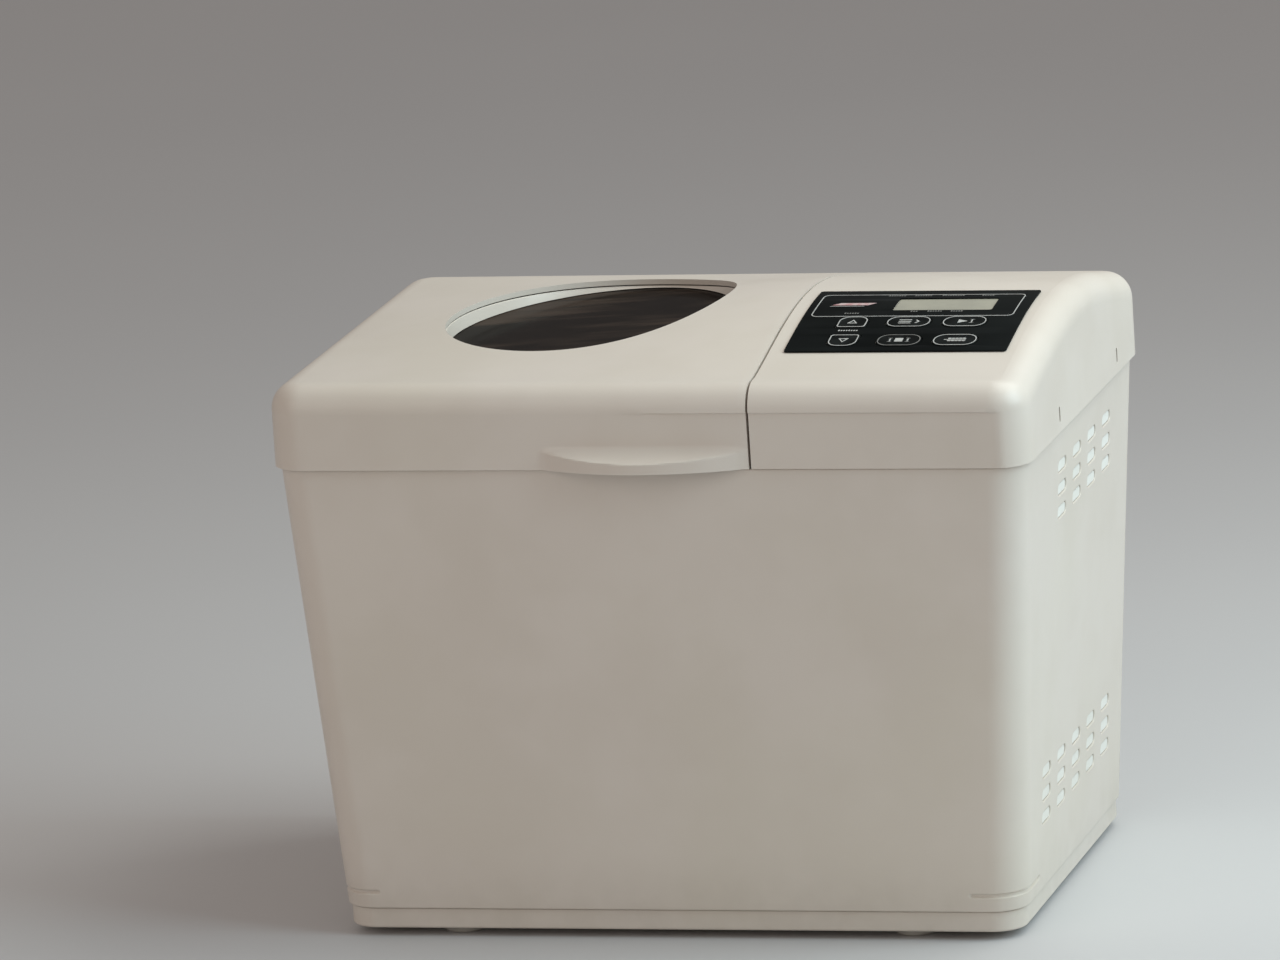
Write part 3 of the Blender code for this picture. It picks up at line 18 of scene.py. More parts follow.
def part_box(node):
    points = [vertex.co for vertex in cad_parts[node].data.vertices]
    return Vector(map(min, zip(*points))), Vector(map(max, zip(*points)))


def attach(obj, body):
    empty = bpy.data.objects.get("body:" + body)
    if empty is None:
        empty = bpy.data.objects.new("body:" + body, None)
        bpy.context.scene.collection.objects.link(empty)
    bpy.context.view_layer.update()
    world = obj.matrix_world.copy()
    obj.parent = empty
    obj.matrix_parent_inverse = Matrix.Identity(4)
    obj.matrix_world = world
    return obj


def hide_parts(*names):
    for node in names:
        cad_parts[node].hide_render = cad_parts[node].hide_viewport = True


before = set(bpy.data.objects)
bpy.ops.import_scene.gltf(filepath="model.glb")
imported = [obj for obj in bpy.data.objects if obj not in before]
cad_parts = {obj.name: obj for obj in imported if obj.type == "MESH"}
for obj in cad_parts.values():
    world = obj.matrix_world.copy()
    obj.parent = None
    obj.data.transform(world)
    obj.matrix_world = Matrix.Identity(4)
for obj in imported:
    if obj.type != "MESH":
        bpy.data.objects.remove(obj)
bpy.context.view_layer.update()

LOG = logging.getLogger("bread_machine")
Colour = tuple[float, float, float]
Point = tuple[float, float]
SHARP_ANGLE = math.radians(35)
GAP = 0.0003
CUTTER = 0.06


# Shader graph -------------------------------------------------------------------------------------


def binary(operation: str, swapped: bool = False) -> Callable:
    """An operator that adds a Math node, with its operands swapped for the reflected form."""

    def operator(self: "Wire", other: "Value") -> "Wire":
        """The Math node's output."""
        return self.math(operation, *((other, self) if swapped else (self, other)))

    return operator


class Wire:
    """One output socket of a material, with arithmetic that adds Math nodes."""

    def __init__(self, graph: "Graph", socket: bpy.types.NodeSocket) -> None:
        """Wrap a socket of a graph."""
        self.graph = graph
        self.socket = socket

    def math(self, operation: str, *values: "Value", clamp: bool = False) -> "Wire":
        """Add a Math node on these values."""
        settings = {"operation": operation, "use_clamp": clamp}
        return self.graph.add("ShaderNodeMath", settings, dict(enumerate(values)))

    def clamped(self) -> "Wire":
        """The value held between 0 and 1."""
        return self.math("ADD", self, 0.0, clamp=True)

    __add__ = binary("ADD")
    __radd__ = binary("ADD", True)
    __sub__ = binary("SUBTRACT")
    __rsub__ = binary("SUBTRACT", True)
    __mul__ = binary("MULTIPLY")
    __rmul__ = binary("MULTIPLY", True)
    __truediv__ = binary("DIVIDE")
    __rtruediv__ = binary("DIVIDE", True)


Value = Union[Wire, float, tuple]


class Graph:
    """A new material and the nodes in it."""

    def __init__(self, name: str) -> None:
        """Make an empty node material with an output."""
        self.material = bpy.data.materials.new(name)
        self.material.use_nodes = True
        self.nodes = self.material.node_tree.nodes
        self.nodes.clear()

    def node(
        self, kind: str, settings: Optional[dict] = None, inputs: Optional[dict] = None
    ) -> bpy.types.Node:
        """Add a node.

        Args:
            kind: The node's type.
            settings: Its properties, set first.
            inputs: Values or wires for its input sockets, by name or number.

        Returns:
            The node.
        """
        made = self.nodes.new(kind)
        for key, value in (settings or {}).items():
            setattr(made, key, value)
        for key, value in (inputs or {}).items():
            socket = made.inputs[key]
            if isinstance(value, Wire):
                self.material.node_tree.links.new(value.socket, socket)
            else:
                socket.default_value = value
        return made

    def add(
        self, kind: str, settings: Optional[dict] = None, inputs: Optional[dict] = None, output: Union[
            int, str
        ] = 0
    ) -> Wire:
        """Add a node and take one of its outputs; arguments as for node()."""
        return Wire(self, self.node(kind, settings, inputs).outputs[output])

    def step(self, value: Value, low: float, high: float) -> Wire:
        """A smooth rise from 0 at low to 1 at high."""
        settings = {"interpolation_type": "SMOOTHSTEP"}
        return self.add("ShaderNodeMapRange", settings, {0: value, 1: low, 2: high, 3: 0.0, 4: 1.0})

    def mix(self, factor: Value, first: Union[Wire, Colour], second: Union[Wire, Colour]) -> Wire:
        """Blend two colours."""
        colours = {6: first, 7: second}
        sockets = {
            key: value if isinstance(value, Wire) else (*value, 1.0) for key, value in colours.items()
        }
        return self.add("ShaderNodeMix", {"data_type": "RGBA"}, {0: factor, **sockets}, 2)

    def place(self, stretch: tuple[float, float, float] = (1.0, 1.0, 1.0)) -> Wire:
        """The point in metres, stretched by a factor along each axis."""
        point = self.add("ShaderNodeTexCoord", output="Object")
        return self.add("ShaderNodeVectorMath", {"operation": "MULTIPLY"}, {0: point, 1: stretch})

    def noise(self, place: Wire, size: float, detail: float = 2.0, rough: float = 0.5) -> Wire:
        """Noise whose features are about size metres across."""
        inputs = {"Vector": place, "Scale": 1.0 / size, "Detail": detail, "Roughness": rough}
        return self.add("ShaderNodeTexNoise", None, inputs)

    def cells(self, place: Wire, size: float, feature: str = "F1") -> Wire:
        """Distance to cell points about size metres apart."""
        return self.add(
            "ShaderNodeTexVoronoi", {"feature": feature}, {"Vector": place, "Scale": 1.0 / size}
        )

    def height(self) -> Wire:
        """Height of the point above the table, in metres."""
        point = self.add("ShaderNodeTexCoord", output="Object")
        return self.add("ShaderNodeSeparateXYZ", None, {0: point}, 2)

    def edges(self) -> Wire:
        """A mask of rounded outer edges."""
        return self.step(self.add("ShaderNodeNewGeometry", output="Pointiness"), 0.53, 0.62)

    def hollows(self) -> Wire:
        """A mask of inner corners, where painted shade goes."""
        return 1.0 - self.step(self.add("ShaderNodeNewGeometry", output="Pointiness"), 0.40, 0.48)

    def bump(self, relief: Wire, depth: float) -> Wire:
        """A normal from relief between 0 and 1 that stands depth metres high."""
        return self.add("ShaderNodeBump", None, {"Distance": depth, "Height": relief})

    def finish(self, varying: dict, constants: dict) -> bpy.types.Material:
        """Add the surface shader.

        Args:
            varying: Wires for its varying sockets.
            constants: Plain values set on its own sockets.

        Returns:
            The finished material.
        """
        shader = self.node("ShaderNodeBsdfPrincipled", None, {**constants, **varying})
        output = self.node("ShaderNodeOutputMaterial")
        self.material.node_tree.links.new(shader.outputs[0], output.inputs["Surface"])
        return self.material


# Finishes -----------------------------------------------------------------------------------------


class Grain(Enum):
    """The fine relief of a surface."""

    PEBBLE = "moulded pebble"
    SMOOTH = "polished"
    BRUSHED_X = "drawn along X"
    BRUSHED_Z = "drawn along Z"
    CAST = "cast skin"
    SPANGLE = "zinc spangle"
    SPECKLE = "sprayed coating"
    TRACKS = "circuit tracks"
    RINGS = "turned rings"
    WOUND = "wound wire"
    STREAKS = "streaked glass"


@dataclass(frozen=True)
class Finish:
    """How one kind of surface looks: two tones, gloss, grain, rubbed edges and scuffs, and painted
    shade in its hollows.
    """

    name: str
    slot: str
    colour: Colour
    tone: Colour
    roughness: float
    grain: Grain = Grain.PEBBLE
    size: float = 0.0007
    depth: float = 0.00002
    metallic: float = 0.0
    coat: float = 0.0
    # Strength of the rubbed edges and scuffs, and of the painted shade in hollows.
    wear_and_shade: float = 0.25
    worn: Colour = (0.72, 0.70, 0.66)
    # Colour of the painted shade in hollows; on the case also the colour it darkens to towards the
    # bottom.
    hollow_shade_and_low_tone: Colour = (0.20, 0.17, 0.13)
    patch: float = 0.07
    specular: float = 0.5

    def relief(self, graph: Graph) -> Wire:
        """The grain as a height between 0 and 1."""
        plain = graph.place()
        if self.grain in (Grain.BRUSHED_X, Grain.BRUSHED_Z, Grain.STREAKS):
            stretch = (1.0, 1.0, 0.03) if self.grain is Grain.BRUSHED_Z else (0.03, 1.0, 1.0)
            return graph.noise(graph.place(stretch), self.size, 4.0, 0.6)
        if self.grain is Grain.SPANGLE:
            return graph.cells(plain, self.size) * 0.8 + graph.noise(plain, self.size / 6) * 0.2
        if self.grain is Grain.SPECKLE:
            return graph.step(graph.cells(plain, self.size), 0.15, 0.45)
        if self.grain is Grain.TRACKS:
            return graph.step(graph.cells(plain, self.size, "F2"), 0.45, 0.55)
        if self.grain is Grain.RINGS:
            settings = {"wave_type": "RINGS", "rings_direction": "Z"}
            inputs = {"Vector": plain, "Scale": 1.0 / self.size, "Distortion": 0.4}
            return graph.add("ShaderNodeTexWave", settings, inputs, "Fac")
        if self.grain is Grain.WOUND:
            settings = {"wave_type": "BANDS", "bands_direction": "Z"}
            return graph.add(
                "ShaderNodeTexWave", settings, {"Vector": plain, "Scale": 1.0 / self.size}, "Fac"
            )
        if self.grain is Grain.SMOOTH:
            return graph.noise(plain, self.size * 4, 1.0)
        detail = 4.0 if self.grain is Grain.CAST else 1.5
        return graph.noise(plain, self.size, detail)

    def colours(self, graph: Graph, relief: Wire) -> Wire:
        """Base colour: patches of both tones, rubbed edges, and painted shade darkening the hollows."""
        plain = graph.place()
        patches = graph.step(graph.noise(plain, self.patch, 3.0, 0.55), 0.35, 0.68)
        fine = (relief - 0.5) * 0.25
        colour = graph.mix((patches + fine).clamped(), self.colour, self.tone)
        scuffs = graph.step(graph.noise(plain, 0.006, 6.0, 0.7), 0.60, 0.74) * self.wear_and_shade * 0.35
        worn = (graph.edges() * self.wear_and_shade + scuffs).clamped()
        # Painted shade: inner corners darkened towards the shade colour, standing in for occlusion.
        painted_hollow_shade = (graph.hollows() * self.wear_and_shade).clamped()
        return graph.mix(painted_hollow_shade, graph.mix(worn, colour, self.worn), self.hollow_shade_and_low_tone)

    def material(self) -> bpy.types.Material:
        """The finish as a node material."""
        graph = Graph(self.name)
        relief = self.relief(graph)
        smears = graph.noise(graph.place(), self.patch / 3, 4.0)
        rough = (self.roughness + (smears - 0.5) * 0.16 + (relief - 0.5) * 0.08).clamped()
        varying = {
            "Base Color": self.colours(graph, relief),
            "Roughness": rough,
            "Normal": graph.bump(relief, self.depth),
        }
        constants = {
            "Metallic": self.metallic,
            "Coat Weight": self.coat,
            "Coat Roughness": 0.12,
            "Specular IOR Level": self.specular,
        }
        return graph.finish(varying, constants)


@dataclass(frozen=True)
class CasePlastic(Finish):
    """Satin off-white moulding that has yellowed a little and is darker towards the bottom."""

    darkening_top: float = 0.045
    yellow: Colour = (0.70, 0.655, 0.55)

    def colours(self, graph: Graph, relief: Wire) -> Wire:
        """Base colour with slow yellowing, darker towards the bottom."""
        plain = graph.place()
        base = super().colours(graph, relief)
        aged = graph.step(graph.noise(plain, 0.16, 2.0), 0.35, 0.75) * 0.35
        # Darker towards the bottom, broken up by noise.
        darker_low_down = (
            1.0 - graph.step(graph.height(), 0.004, self.darkening_top)
        ) * graph.noise(plain, 0.012, 5.0) * 0.30
        return graph.mix(darker_low_down, graph.mix(aged, base, self.yellow), self.hollow_shade_and_low_tone)


@dataclass(frozen=True)
class SmokedGlass(Finish):
    """Dark viewing glass with long soft paler streaks painted in as reflections, and a trace of
    baked-on haze.
    """

    def colours(self, graph: Graph, relief: Wire) -> Wire:
        """Brown-black with faint paler bands along the glass as a painted reflection, and fine haze."""
        # Painted reflection: long soft paler streaks stretched along X, with fine haze mixed in.
        painted_reflection_bands = graph.noise(graph.place((0.22, 1.0, 1.0)), 0.030, 3.0, 0.55)
        haze = graph.noise(graph.place(), 0.010, 5.0, 0.6) * 0.25
        mask = (graph.step(painted_reflection_bands, 0.42, 0.66) * 0.75 + haze * 0.6).clamped()
        return graph.mix(mask, self.colour, self.tone)


IVORY = CasePlastic(
    "ivory_plastic", "ivory_plastic", (0.70, 0.635, 0.575), (0.665, 0.60, 0.535), 0.36, size=0.0006,
    depth=0.000012, wear_and_shade=0.10, worn=(0.74, 0.72, 0.67), hollow_shade_and_low_tone=(0.34, 0.30, 0.24),
)
INNER_IVORY = CasePlastic(
    "inner_ivory", "ivory_plastic", (0.60, 0.575, 0.51), (0.55, 0.52, 0.45), 0.46, size=0.0008,
    depth=0.00002, wear_and_shade=0.2, hollow_shade_and_low_tone=(0.28, 0.24, 0.19),
)
# Painted light: a lighter copy of the case plastic, so the baffles seen in the vents look lit.
PAINTED_LIT_IVORY = CasePlastic(
    "painted_lit_vent_ivory", "ivory_plastic", (0.86, 0.85, 0.81), (0.80, 0.79, 0.75), 0.42, size=0.0008,
    depth=0.00001, wear_and_shade=0.1, hollow_shade_and_low_tone=(0.5, 0.46, 0.40),
)
FILM = Finish(
    "control_film", "overlay_black", (0.004, 0.005, 0.005), (0.010, 0.012, 0.012), 0.34, size=0.0003,
    depth=0.000006, wear_and_shade=0.15, worn=(0.07, 0.07, 0.075), hollow_shade_and_low_tone=(0.006, 0.006, 0.007), specular=0.006,
)
KEY_FILM = Finish(
    "key_film", "overlay_black", (0.006, 0.007, 0.007), (0.014, 0.016, 0.016), 0.38, size=0.0003,
    depth=0.000006, wear_and_shade=0.3, worn=(0.09, 0.09, 0.095), hollow_shade_and_low_tone=(0.006, 0.006, 0.007), patch=0.012,
    specular=0.01,
)
PRINT = Finish(
    "grey_print", "overlay_black", (0.50, 0.50, 0.49), (0.40, 0.40, 0.395), 0.5, size=0.0004,
    depth=0.000004, patch=0.004, wear_and_shade=0.1, hollow_shade_and_low_tone=(0.2, 0.2, 0.2),
)
FAINT_PRINT = Finish(
    "faint_print", "overlay_black", (0.17, 0.165, 0.16), (0.10, 0.10, 0.10), 0.5, size=0.0004,
    depth=0.000004, patch=0.004, wear_and_shade=0.1,
)
ROSE_PRINT = Finish(
    "rose_print", "overlay_black", (0.46, 0.20, 0.22), (0.55, 0.42, 0.42), 0.5, size=0.0004,
    depth=0.000004, patch=0.003, wear_and_shade=0.1,
)
DISPLAY = Finish(
    "display_glass", "display_pale", (0.40, 0.385, 0.31), (0.34, 0.33, 0.27), 0.22, Grain.SMOOTH,
    size=0.002, depth=0.000004, coat=0.3, patch=0.02, wear_and_shade=0.1, hollow_shade_and_low_tone=(0.16, 0.15, 0.12),
)
# The tone is the paler brown of the painted reflection streaks.
GLASS = SmokedGlass(
    "smoked_glass", "smoked_glass", (0.004, 0.003, 0.003), (0.062, 0.043, 0.033), 0.14, Grain.STREAKS,
    size=0.004, depth=0.000003, wear_and_shade=0.1, specular=0.003,
)
DARK = Finish(
    "dark_plastic", "dark_plastic", (0.028, 0.028, 0.032), (0.045, 0.045, 0.048), 0.48, size=0.0008,
    wear_and_shade=0.2, worn=(0.13, 0.13, 0.13), hollow_shade_and_low_tone=(0.02, 0.018, 0.016),
)
SHEET = Finish(
    "sheet_steel", "sheet_steel", (0.56, 0.565, 0.57), (0.47, 0.47, 0.465), 0.34, Grain.BRUSHED_Z,
    0.0006, 0.000008, metallic=1.0, wear_and_shade=0.2, worn=(0.72, 0.72, 0.71), hollow_shade_and_low_tone=(0.17, 0.13, 0.10),
)
LINER = Finish(
    "lid_liner_steel", "sheet_steel", (0.56, 0.565, 0.57), (0.46, 0.45, 0.43), 0.38, Grain.BRUSHED_X,
    0.0006, 0.000008, metallic=1.0, wear_and_shade=0.2, worn=(0.72, 0.72, 0.71), hollow_shade_and_low_tone=(0.17, 0.13, 0.10),
)
ROD = Finish(
    "bright_rod", "sheet_steel", (0.62, 0.62, 0.62), (0.52, 0.52, 0.51), 0.26, Grain.RINGS, 0.0009,
    0.000004, metallic=1.0, wear_and_shade=0.2, hollow_shade_and_low_tone=(0.16, 0.14, 0.12),
)
ZINC = Finish(
    "zinc_steel", "zinc_steel", (0.46, 0.48, 0.50), (0.60, 0.61, 0.62), 0.42, Grain.SPANGLE, 0.006,
    0.000010, metallic=1.0, wear_and_shade=0.25, hollow_shade_and_low_tone=(0.20, 0.19, 0.17), patch=0.02,
)
COATED = Finish(
    "nonstick", "nonstick", (0.060, 0.060, 0.064), (0.085, 0.084, 0.086), 0.42, Grain.SPECKLE, 0.0011,
    0.000012, metallic=0.15, wear_and_shade=0.45, worn=(0.20, 0.195, 0.19), hollow_shade_and_low_tone=(0.035, 0.03, 0.026), patch=0.03,
)
ELEMENT = Finish(
    "element_sheath", "element_sheath", (0.050, 0.042, 0.040), (0.13, 0.085, 0.065), 0.55, Grain.CAST,
    0.0010, 0.000015, metallic=0.6, wear_and_shade=0.3, worn=(0.20, 0.15, 0.12), patch=0.018,
)
ALUMINIUM = Finish(
    "aluminium", "aluminium", (0.66, 0.67, 0.68), (0.57, 0.575, 0.58), 0.38, Grain.CAST, 0.0012,
    0.000015, metallic=1.0, wear_and_shade=0.25, hollow_shade_and_low_tone=(0.22, 0.20, 0.18), patch=0.015,
)
BRASS = Finish(
    "brass", "brass", (0.68, 0.52, 0.24), (0.52, 0.38, 0.17), 0.34, Grain.RINGS, 0.0011, 0.000006,
    metallic=1.0, wear_and_shade=0.25, worn=(0.80, 0.66, 0.36), hollow_shade_and_low_tone=(0.18, 0.12, 0.06), patch=0.008,
)
BELT = Finish(
    "belt_rubber", "rubber", (0.030, 0.030, 0.030), (0.055, 0.053, 0.050), 0.80, Grain.CAST, 0.0010,
    0.00004, wear_and_shade=0.3, worn=(0.12, 0.12, 0.115), hollow_shade_and_low_tone=(0.02, 0.02, 0.02), patch=0.02,
)
FOOT = Finish(
    "foot_rubber", "foot_rubber", (0.47, 0.45, 0.41), (0.40, 0.38, 0.34), 0.68, Grain.CAST, 0.0008,
    0.00003, wear_and_shade=0.3, hollow_shade_and_low_tone=(0.22, 0.20, 0.17), patch=0.008,
)
BOARD = Finish(
    "board_green", "board_green", (0.020, 0.130, 0.055), (0.050, 0.230, 0.100), 0.40, Grain.TRACKS,
    0.004, 0.00003, coat=0.4, wear_and_shade=0.2, hollow_shade_and_low_tone=(0.03, 0.06, 0.03), patch=0.010,
)
WOUND = Finish(
    "copper_winding", "copper_winding", (0.60, 0.27, 0.13), (0.42, 0.17, 0.08), 0.35, Grain.WOUND,
    0.0014, 0.00008, metallic=0.8, coat=0.3, wear_and_shade=0.2, hollow_shade_and_low_tone=(0.12, 0.06, 0.03), patch=0.012,
)

FINISHES: dict[str, bpy.types.Material] = {}


def dressed(finish: Finish) -> bpy.types.Material:
    """The finish's material, made once."""
    if finish.name not in FINISHES:
        FINISHES[finish.name] = finish.material()
    return FINISHES[finish.name]


# Mesh tools ---------------------------------------------------------------------------------------


def rounded(low: Point, high: Point, corner: float, steps: int = 12) -> list[Point]:
    """Points round a rectangle with rounded corners."""
    centres = (
        (high[0], low[1], -90), (high[0], high[1], 0), (low[0], high[1], 90), (low[0], low[1], 180)
    )
    points = []
    for x, y, start in centres:
        middle_x = x - math.copysign(corner, x - (low[0] + high[0]) / 2)
        middle_y = y - math.copysign(corner, y - (low[1] + high[1]) / 2)
        for step in range(steps + 1):
            angle = math.radians(start + 90 * step / steps)
            points.append((middle_x + corner * math.cos(angle), middle_y + corner * math.sin(angle)))
    return points


def ellipse(half_x: float, half_y: float, steps: int = 128, middle: Point = (0.0, 0.0)) -> list[Point]:
    """Points round an ellipse."""
    turns = [2 * math.pi * step / steps for step in range(steps)]
    return [(middle[0] + half_x * math.cos(a), middle[1] + half_y * math.sin(a)) for a in turns]


def arc(middle: Point, radius: float, start: float, end: float, steps: int) -> list[Point]:
    """Points on an arc, angles in degrees."""
    turns = [math.radians(start + (end - start) * step / steps) for step in range(steps + 1)]
    return [(middle[0] + radius * math.cos(a), middle[1] + radius * math.sin(a)) for a in turns]


def finish_mesh(bm: bmesh.types.BMesh, name: str) -> bpy.types.Mesh:
    """Turn a bmesh into a mesh with its faces pointing out."""
    bmesh.ops.recalc_face_normals(bm, faces=bm.faces[:])
    mesh = bpy.data.meshes.new(name)
    bm.to_mesh(mesh)
    bm.free()
    return mesh


def loft(
    name: str, rings: Sequence[Sequence[Vector]], closed: bool = False, capped: bool = False
) -> bpy.types.Mesh:
    """Skin over rings of equal length.

    Args:
        name: The mesh's name.
        rings: Rings of points, in order.
        closed: Whether the last ring joins the first.
        capped: Whether the first and last rings are filled.

    Returns:
        The skin.
    """
    bm = bmesh.new()
    made = [[bm.verts.new(point) for point in ring] for ring in rings]
    pairs = list(zip(made, made[1:])) + ([(made[-1], made[0])] if closed else [])
    for first, second in pairs:
        for i in range(len(first)):
            j = (i + 1) % len(first)
            bm.faces.new((first[i], first[j], second[j], second[i]))
    if capped:
        bm.faces.new(made[0])
        bm.faces.new(made[-1])
    return finish_mesh(bm, name)


def prism(
    name: str, outlines: Iterable[Sequence[Point]], thickness: float, place: Matrix
) -> bpy.types.Mesh:
    """Flat plates with holes, centred on the plane that place maps to."""
    curve = bpy.data.curves.new(name, "CURVE")
    curve.dimensions = "2D"
    curve.fill_mode = "BOTH"
    curve.extrude = thickness / 2
    for outline in outlines:
        add_spline(curve, outline, True)
    mesh = curve_mesh(name, curve)
    mesh.transform(place)
    return mesh


def add_spline(curve: bpy.types.Curve, points: Sequence, cyclic: bool) -> None:
    """Add one straight-sided spline to a curve."""
    spline = curve.splines.new("POLY")
    spline.points.add(len(points) - 1)
    for target, point in zip(spline.points, points):
        target.co = (*point, 0.0, 1.0) if len(point) == 2 else (*point, 1.0)
    spline.use_cyclic_u = cyclic


def curve_mesh(name: str, curve: bpy.types.Curve) -> bpy.types.Mesh:
    """Turn a curve into a mesh with welded caps."""
    holder = bpy.data.objects.new(name, curve)
    bpy.context.scene.collection.objects.link(holder)
    graph = bpy.context.evaluated_depsgraph_get()
    mesh = bpy.data.meshes.new_from_object(holder.evaluated_get(graph))
    bpy.data.objects.remove(holder, do_unlink=True)
    bm = bmesh.new()
    bm.from_mesh(mesh)
    bmesh.ops.remove_doubles(bm, verts=bm.verts[:], dist=1e-7)
    bpy.data.meshes.remove(mesh)
    return finish_mesh(bm, name)


def tube(name: str, path: Sequence, radius: float) -> bpy.types.Mesh:
    """A round wire along a path."""
    curve = bpy.data.curves.new(name, "CURVE")
    curve.dimensions = "3D"
    curve.bevel_depth = radius
    curve.bevel_resolution = 5
    curve.use_fill_caps = True
    add_spline(curve, path, False)
    return curve_mesh(name, curve)


def turned(name: str, profile: Sequence[Point], place: Vector, steps: int = 64) -> bpy.types.Mesh:
    """A closed solid of revolution about an upright axis, from (radius, height) points."""
    turns = [2 * math.pi * step / steps for step in range(steps)]
    rings = [[place + Vector((r * math.cos(a), r * math.sin(a), z)) for a in turns] for r, z in profile]
    bm = bmesh.new()
    bm.from_mesh(loft(name, rings, closed=True))
    bmesh.ops.remove_doubles(bm, verts=bm.verts[:], dist=1e-6)
    bmesh.ops.delete(bm, geom=[edge for edge in bm.edges if not edge.link_faces], context="EDGES")
    return finish_mesh(bm, name)


def block(name: str, low: Sequence[float], high: Sequence[float]) -> bpy.types.Mesh:
    """A box between two corners, to be bevelled later."""
    low_corner = Vector(low)
    high_corner = Vector(high)
    place = Matrix.Translation((low_corner + high_corner) / 2)
    bm = bmesh.new()
    bmesh.ops.create_cube(
        bm, size=1.0, matrix=place @ Matrix.Diagonal((*(high_corner - low_corner), 1.0))
    )
    return finish_mesh(bm, name)


def rod(
    name: str, radius: float, start: Sequence[float], end: Sequence[float], segments: int = 48
) -> bpy.types.Mesh:
    """A straight round bar between two points."""
    first = Vector(start)
    last = Vector(end)
    turn = Vector((0.0, 0.0, 1.0)).rotation_difference(last - first).to_matrix().to_4x4()
    bm = bmesh.new()
    sizes = {"segments": segments, "radius1": radius, "radius2": radius, "depth": (last - first).length}
    bmesh.ops.create_cone(
        bm, cap_ends=True, matrix=Matrix.Translation((first + last) / 2) @ turn, **sizes
    )
    return finish_mesh(bm, name)


def fillet(corners: Sequence[Vector], radius: float, steps: int = 10) -> list[Vector]:
    """A path through corner points with each inner corner rounded."""
    path = [Vector(corners[0])]
    for before, corner, after in zip(corners, corners[1:], corners[2:]):
        towards = (before - corner).normalized()
        onwards = (after - corner).normalized()
        half = towards.angle(onwards) / 2
        middle = corner + (towards + onwards).normalized() * radius / math.sin(half)
        first = corner + towards * radius / math.tan(half) - middle
        last = corner + onwards * radius / math.tan(half) - middle
        path += [
            middle + first.slerp(last, step / steps).normalized() * radius for step in range(steps + 1)
        ]
    path.append(Vector(corners[-1]))
    return path


def smooth(value: float, low: float, high: float) -> float:
    """A smooth rise from 0 at low to 1 at high."""
    share = min(max((value - low) / (high - low), 0.0), 1.0)
    return share * share * (3 - 2 * share)


def soften(item: bpy.types.Object, width: float, segments: int, angle: float) -> bpy.types.Modifier:
    """Round the edges sharper than angle degrees."""
    modifier = item.modifiers.new("edges", "BEVEL")
    modifier.width = width
    modifier.segments = segments
    modifier.limit_method = "ANGLE"
    modifier.angle_limit = math.radians(angle)
    return modifier


class Piece:
    """One visible piece: its mesh, cuts, edges and finish."""

    def __init__(self, name: str, mesh: bpy.types.Mesh, finish: Finish, body: str = "root") -> None:
        """Put a mesh in the scene.

        Args:
            name: The piece's name.
            mesh: Its mesh, in place in the row frame.
            finish: Its surface.
            body: The CAD body it rides on.
        """
        self.item = bpy.data.objects.new(name, mesh)
        bpy.context.scene.collection.objects.link(self.item)
        self.finish = finish
        self.body = body

    def wall(self, thickness: float) -> "Piece":
        """Give an open surface a wall that grows inwards."""
        modifier = self.item.modifiers.new("wall", "SOLIDIFY")
        modifier.thickness = thickness
        modifier.offset = -1.0
        modifier.use_even_offset = True
        return self

    def combine(self, mesh: bpy.types.Mesh, operation: str = "DIFFERENCE") -> "Piece":
        """Cut a mesh out of the piece, or join it on."""
        self.apply()
        tool = bpy.data.objects.new("tool", mesh)
        bpy.context.scene.collection.objects.link(tool)
        modifier = self.item.modifiers.new("boolean", "BOOLEAN")
        modifier.operation = operation
        modifier.solver = "EXACT"
        modifier.object = tool
        self.apply()
        bpy.data.objects.remove(tool, do_unlink=True)
        return self

    def apply(self) -> None:
        """Turn the modifiers' result into the piece's own mesh."""
        if not self.item.modifiers:
            return
        graph = bpy.context.evaluated_depsgraph_get()
        mesh = bpy.data.meshes.new_from_object(self.item.evaluated_get(graph))
        self.item.modifiers.clear()
        self.item.data = mesh

    def edges(self, width: float, segments: int = 3, angle: float = 40.0) -> "Piece":
        """Round the sharp edges."""
        soften(self.item, width, segments, angle).miter_outer = "MITER_ARC"
        return self

    def done(self, *replaced: str) -> bpy.types.Object:
        """Shade, dress and mount the piece, in place of these CAD nodes."""
        self.apply()
        mesh = self.item.data
        mesh.materials.clear()
        mesh.materials.append(dressed(self.finish))
        mesh.shade_smooth()
        mesh.set_sharp_from_angle(angle=SHARP_ANGLE)
        weights = self.item.modifiers.new("normals", "WEIGHTED_NORMAL")
        weights.keep_sharp = True
        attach(self.item, self.body)
        if replaced:
            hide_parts(*replaced)
        LOG.info("%s on %s: %d faces", self.item.name, self.body, len(mesh.polygons))
        return self.item


@cache
def box_of(name: str) -> tuple[Vector, Vector]:
    """Lowest and highest corner of a CAD node."""
    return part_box(name)


# Frame of the object ------------------------------------------------------------------------------


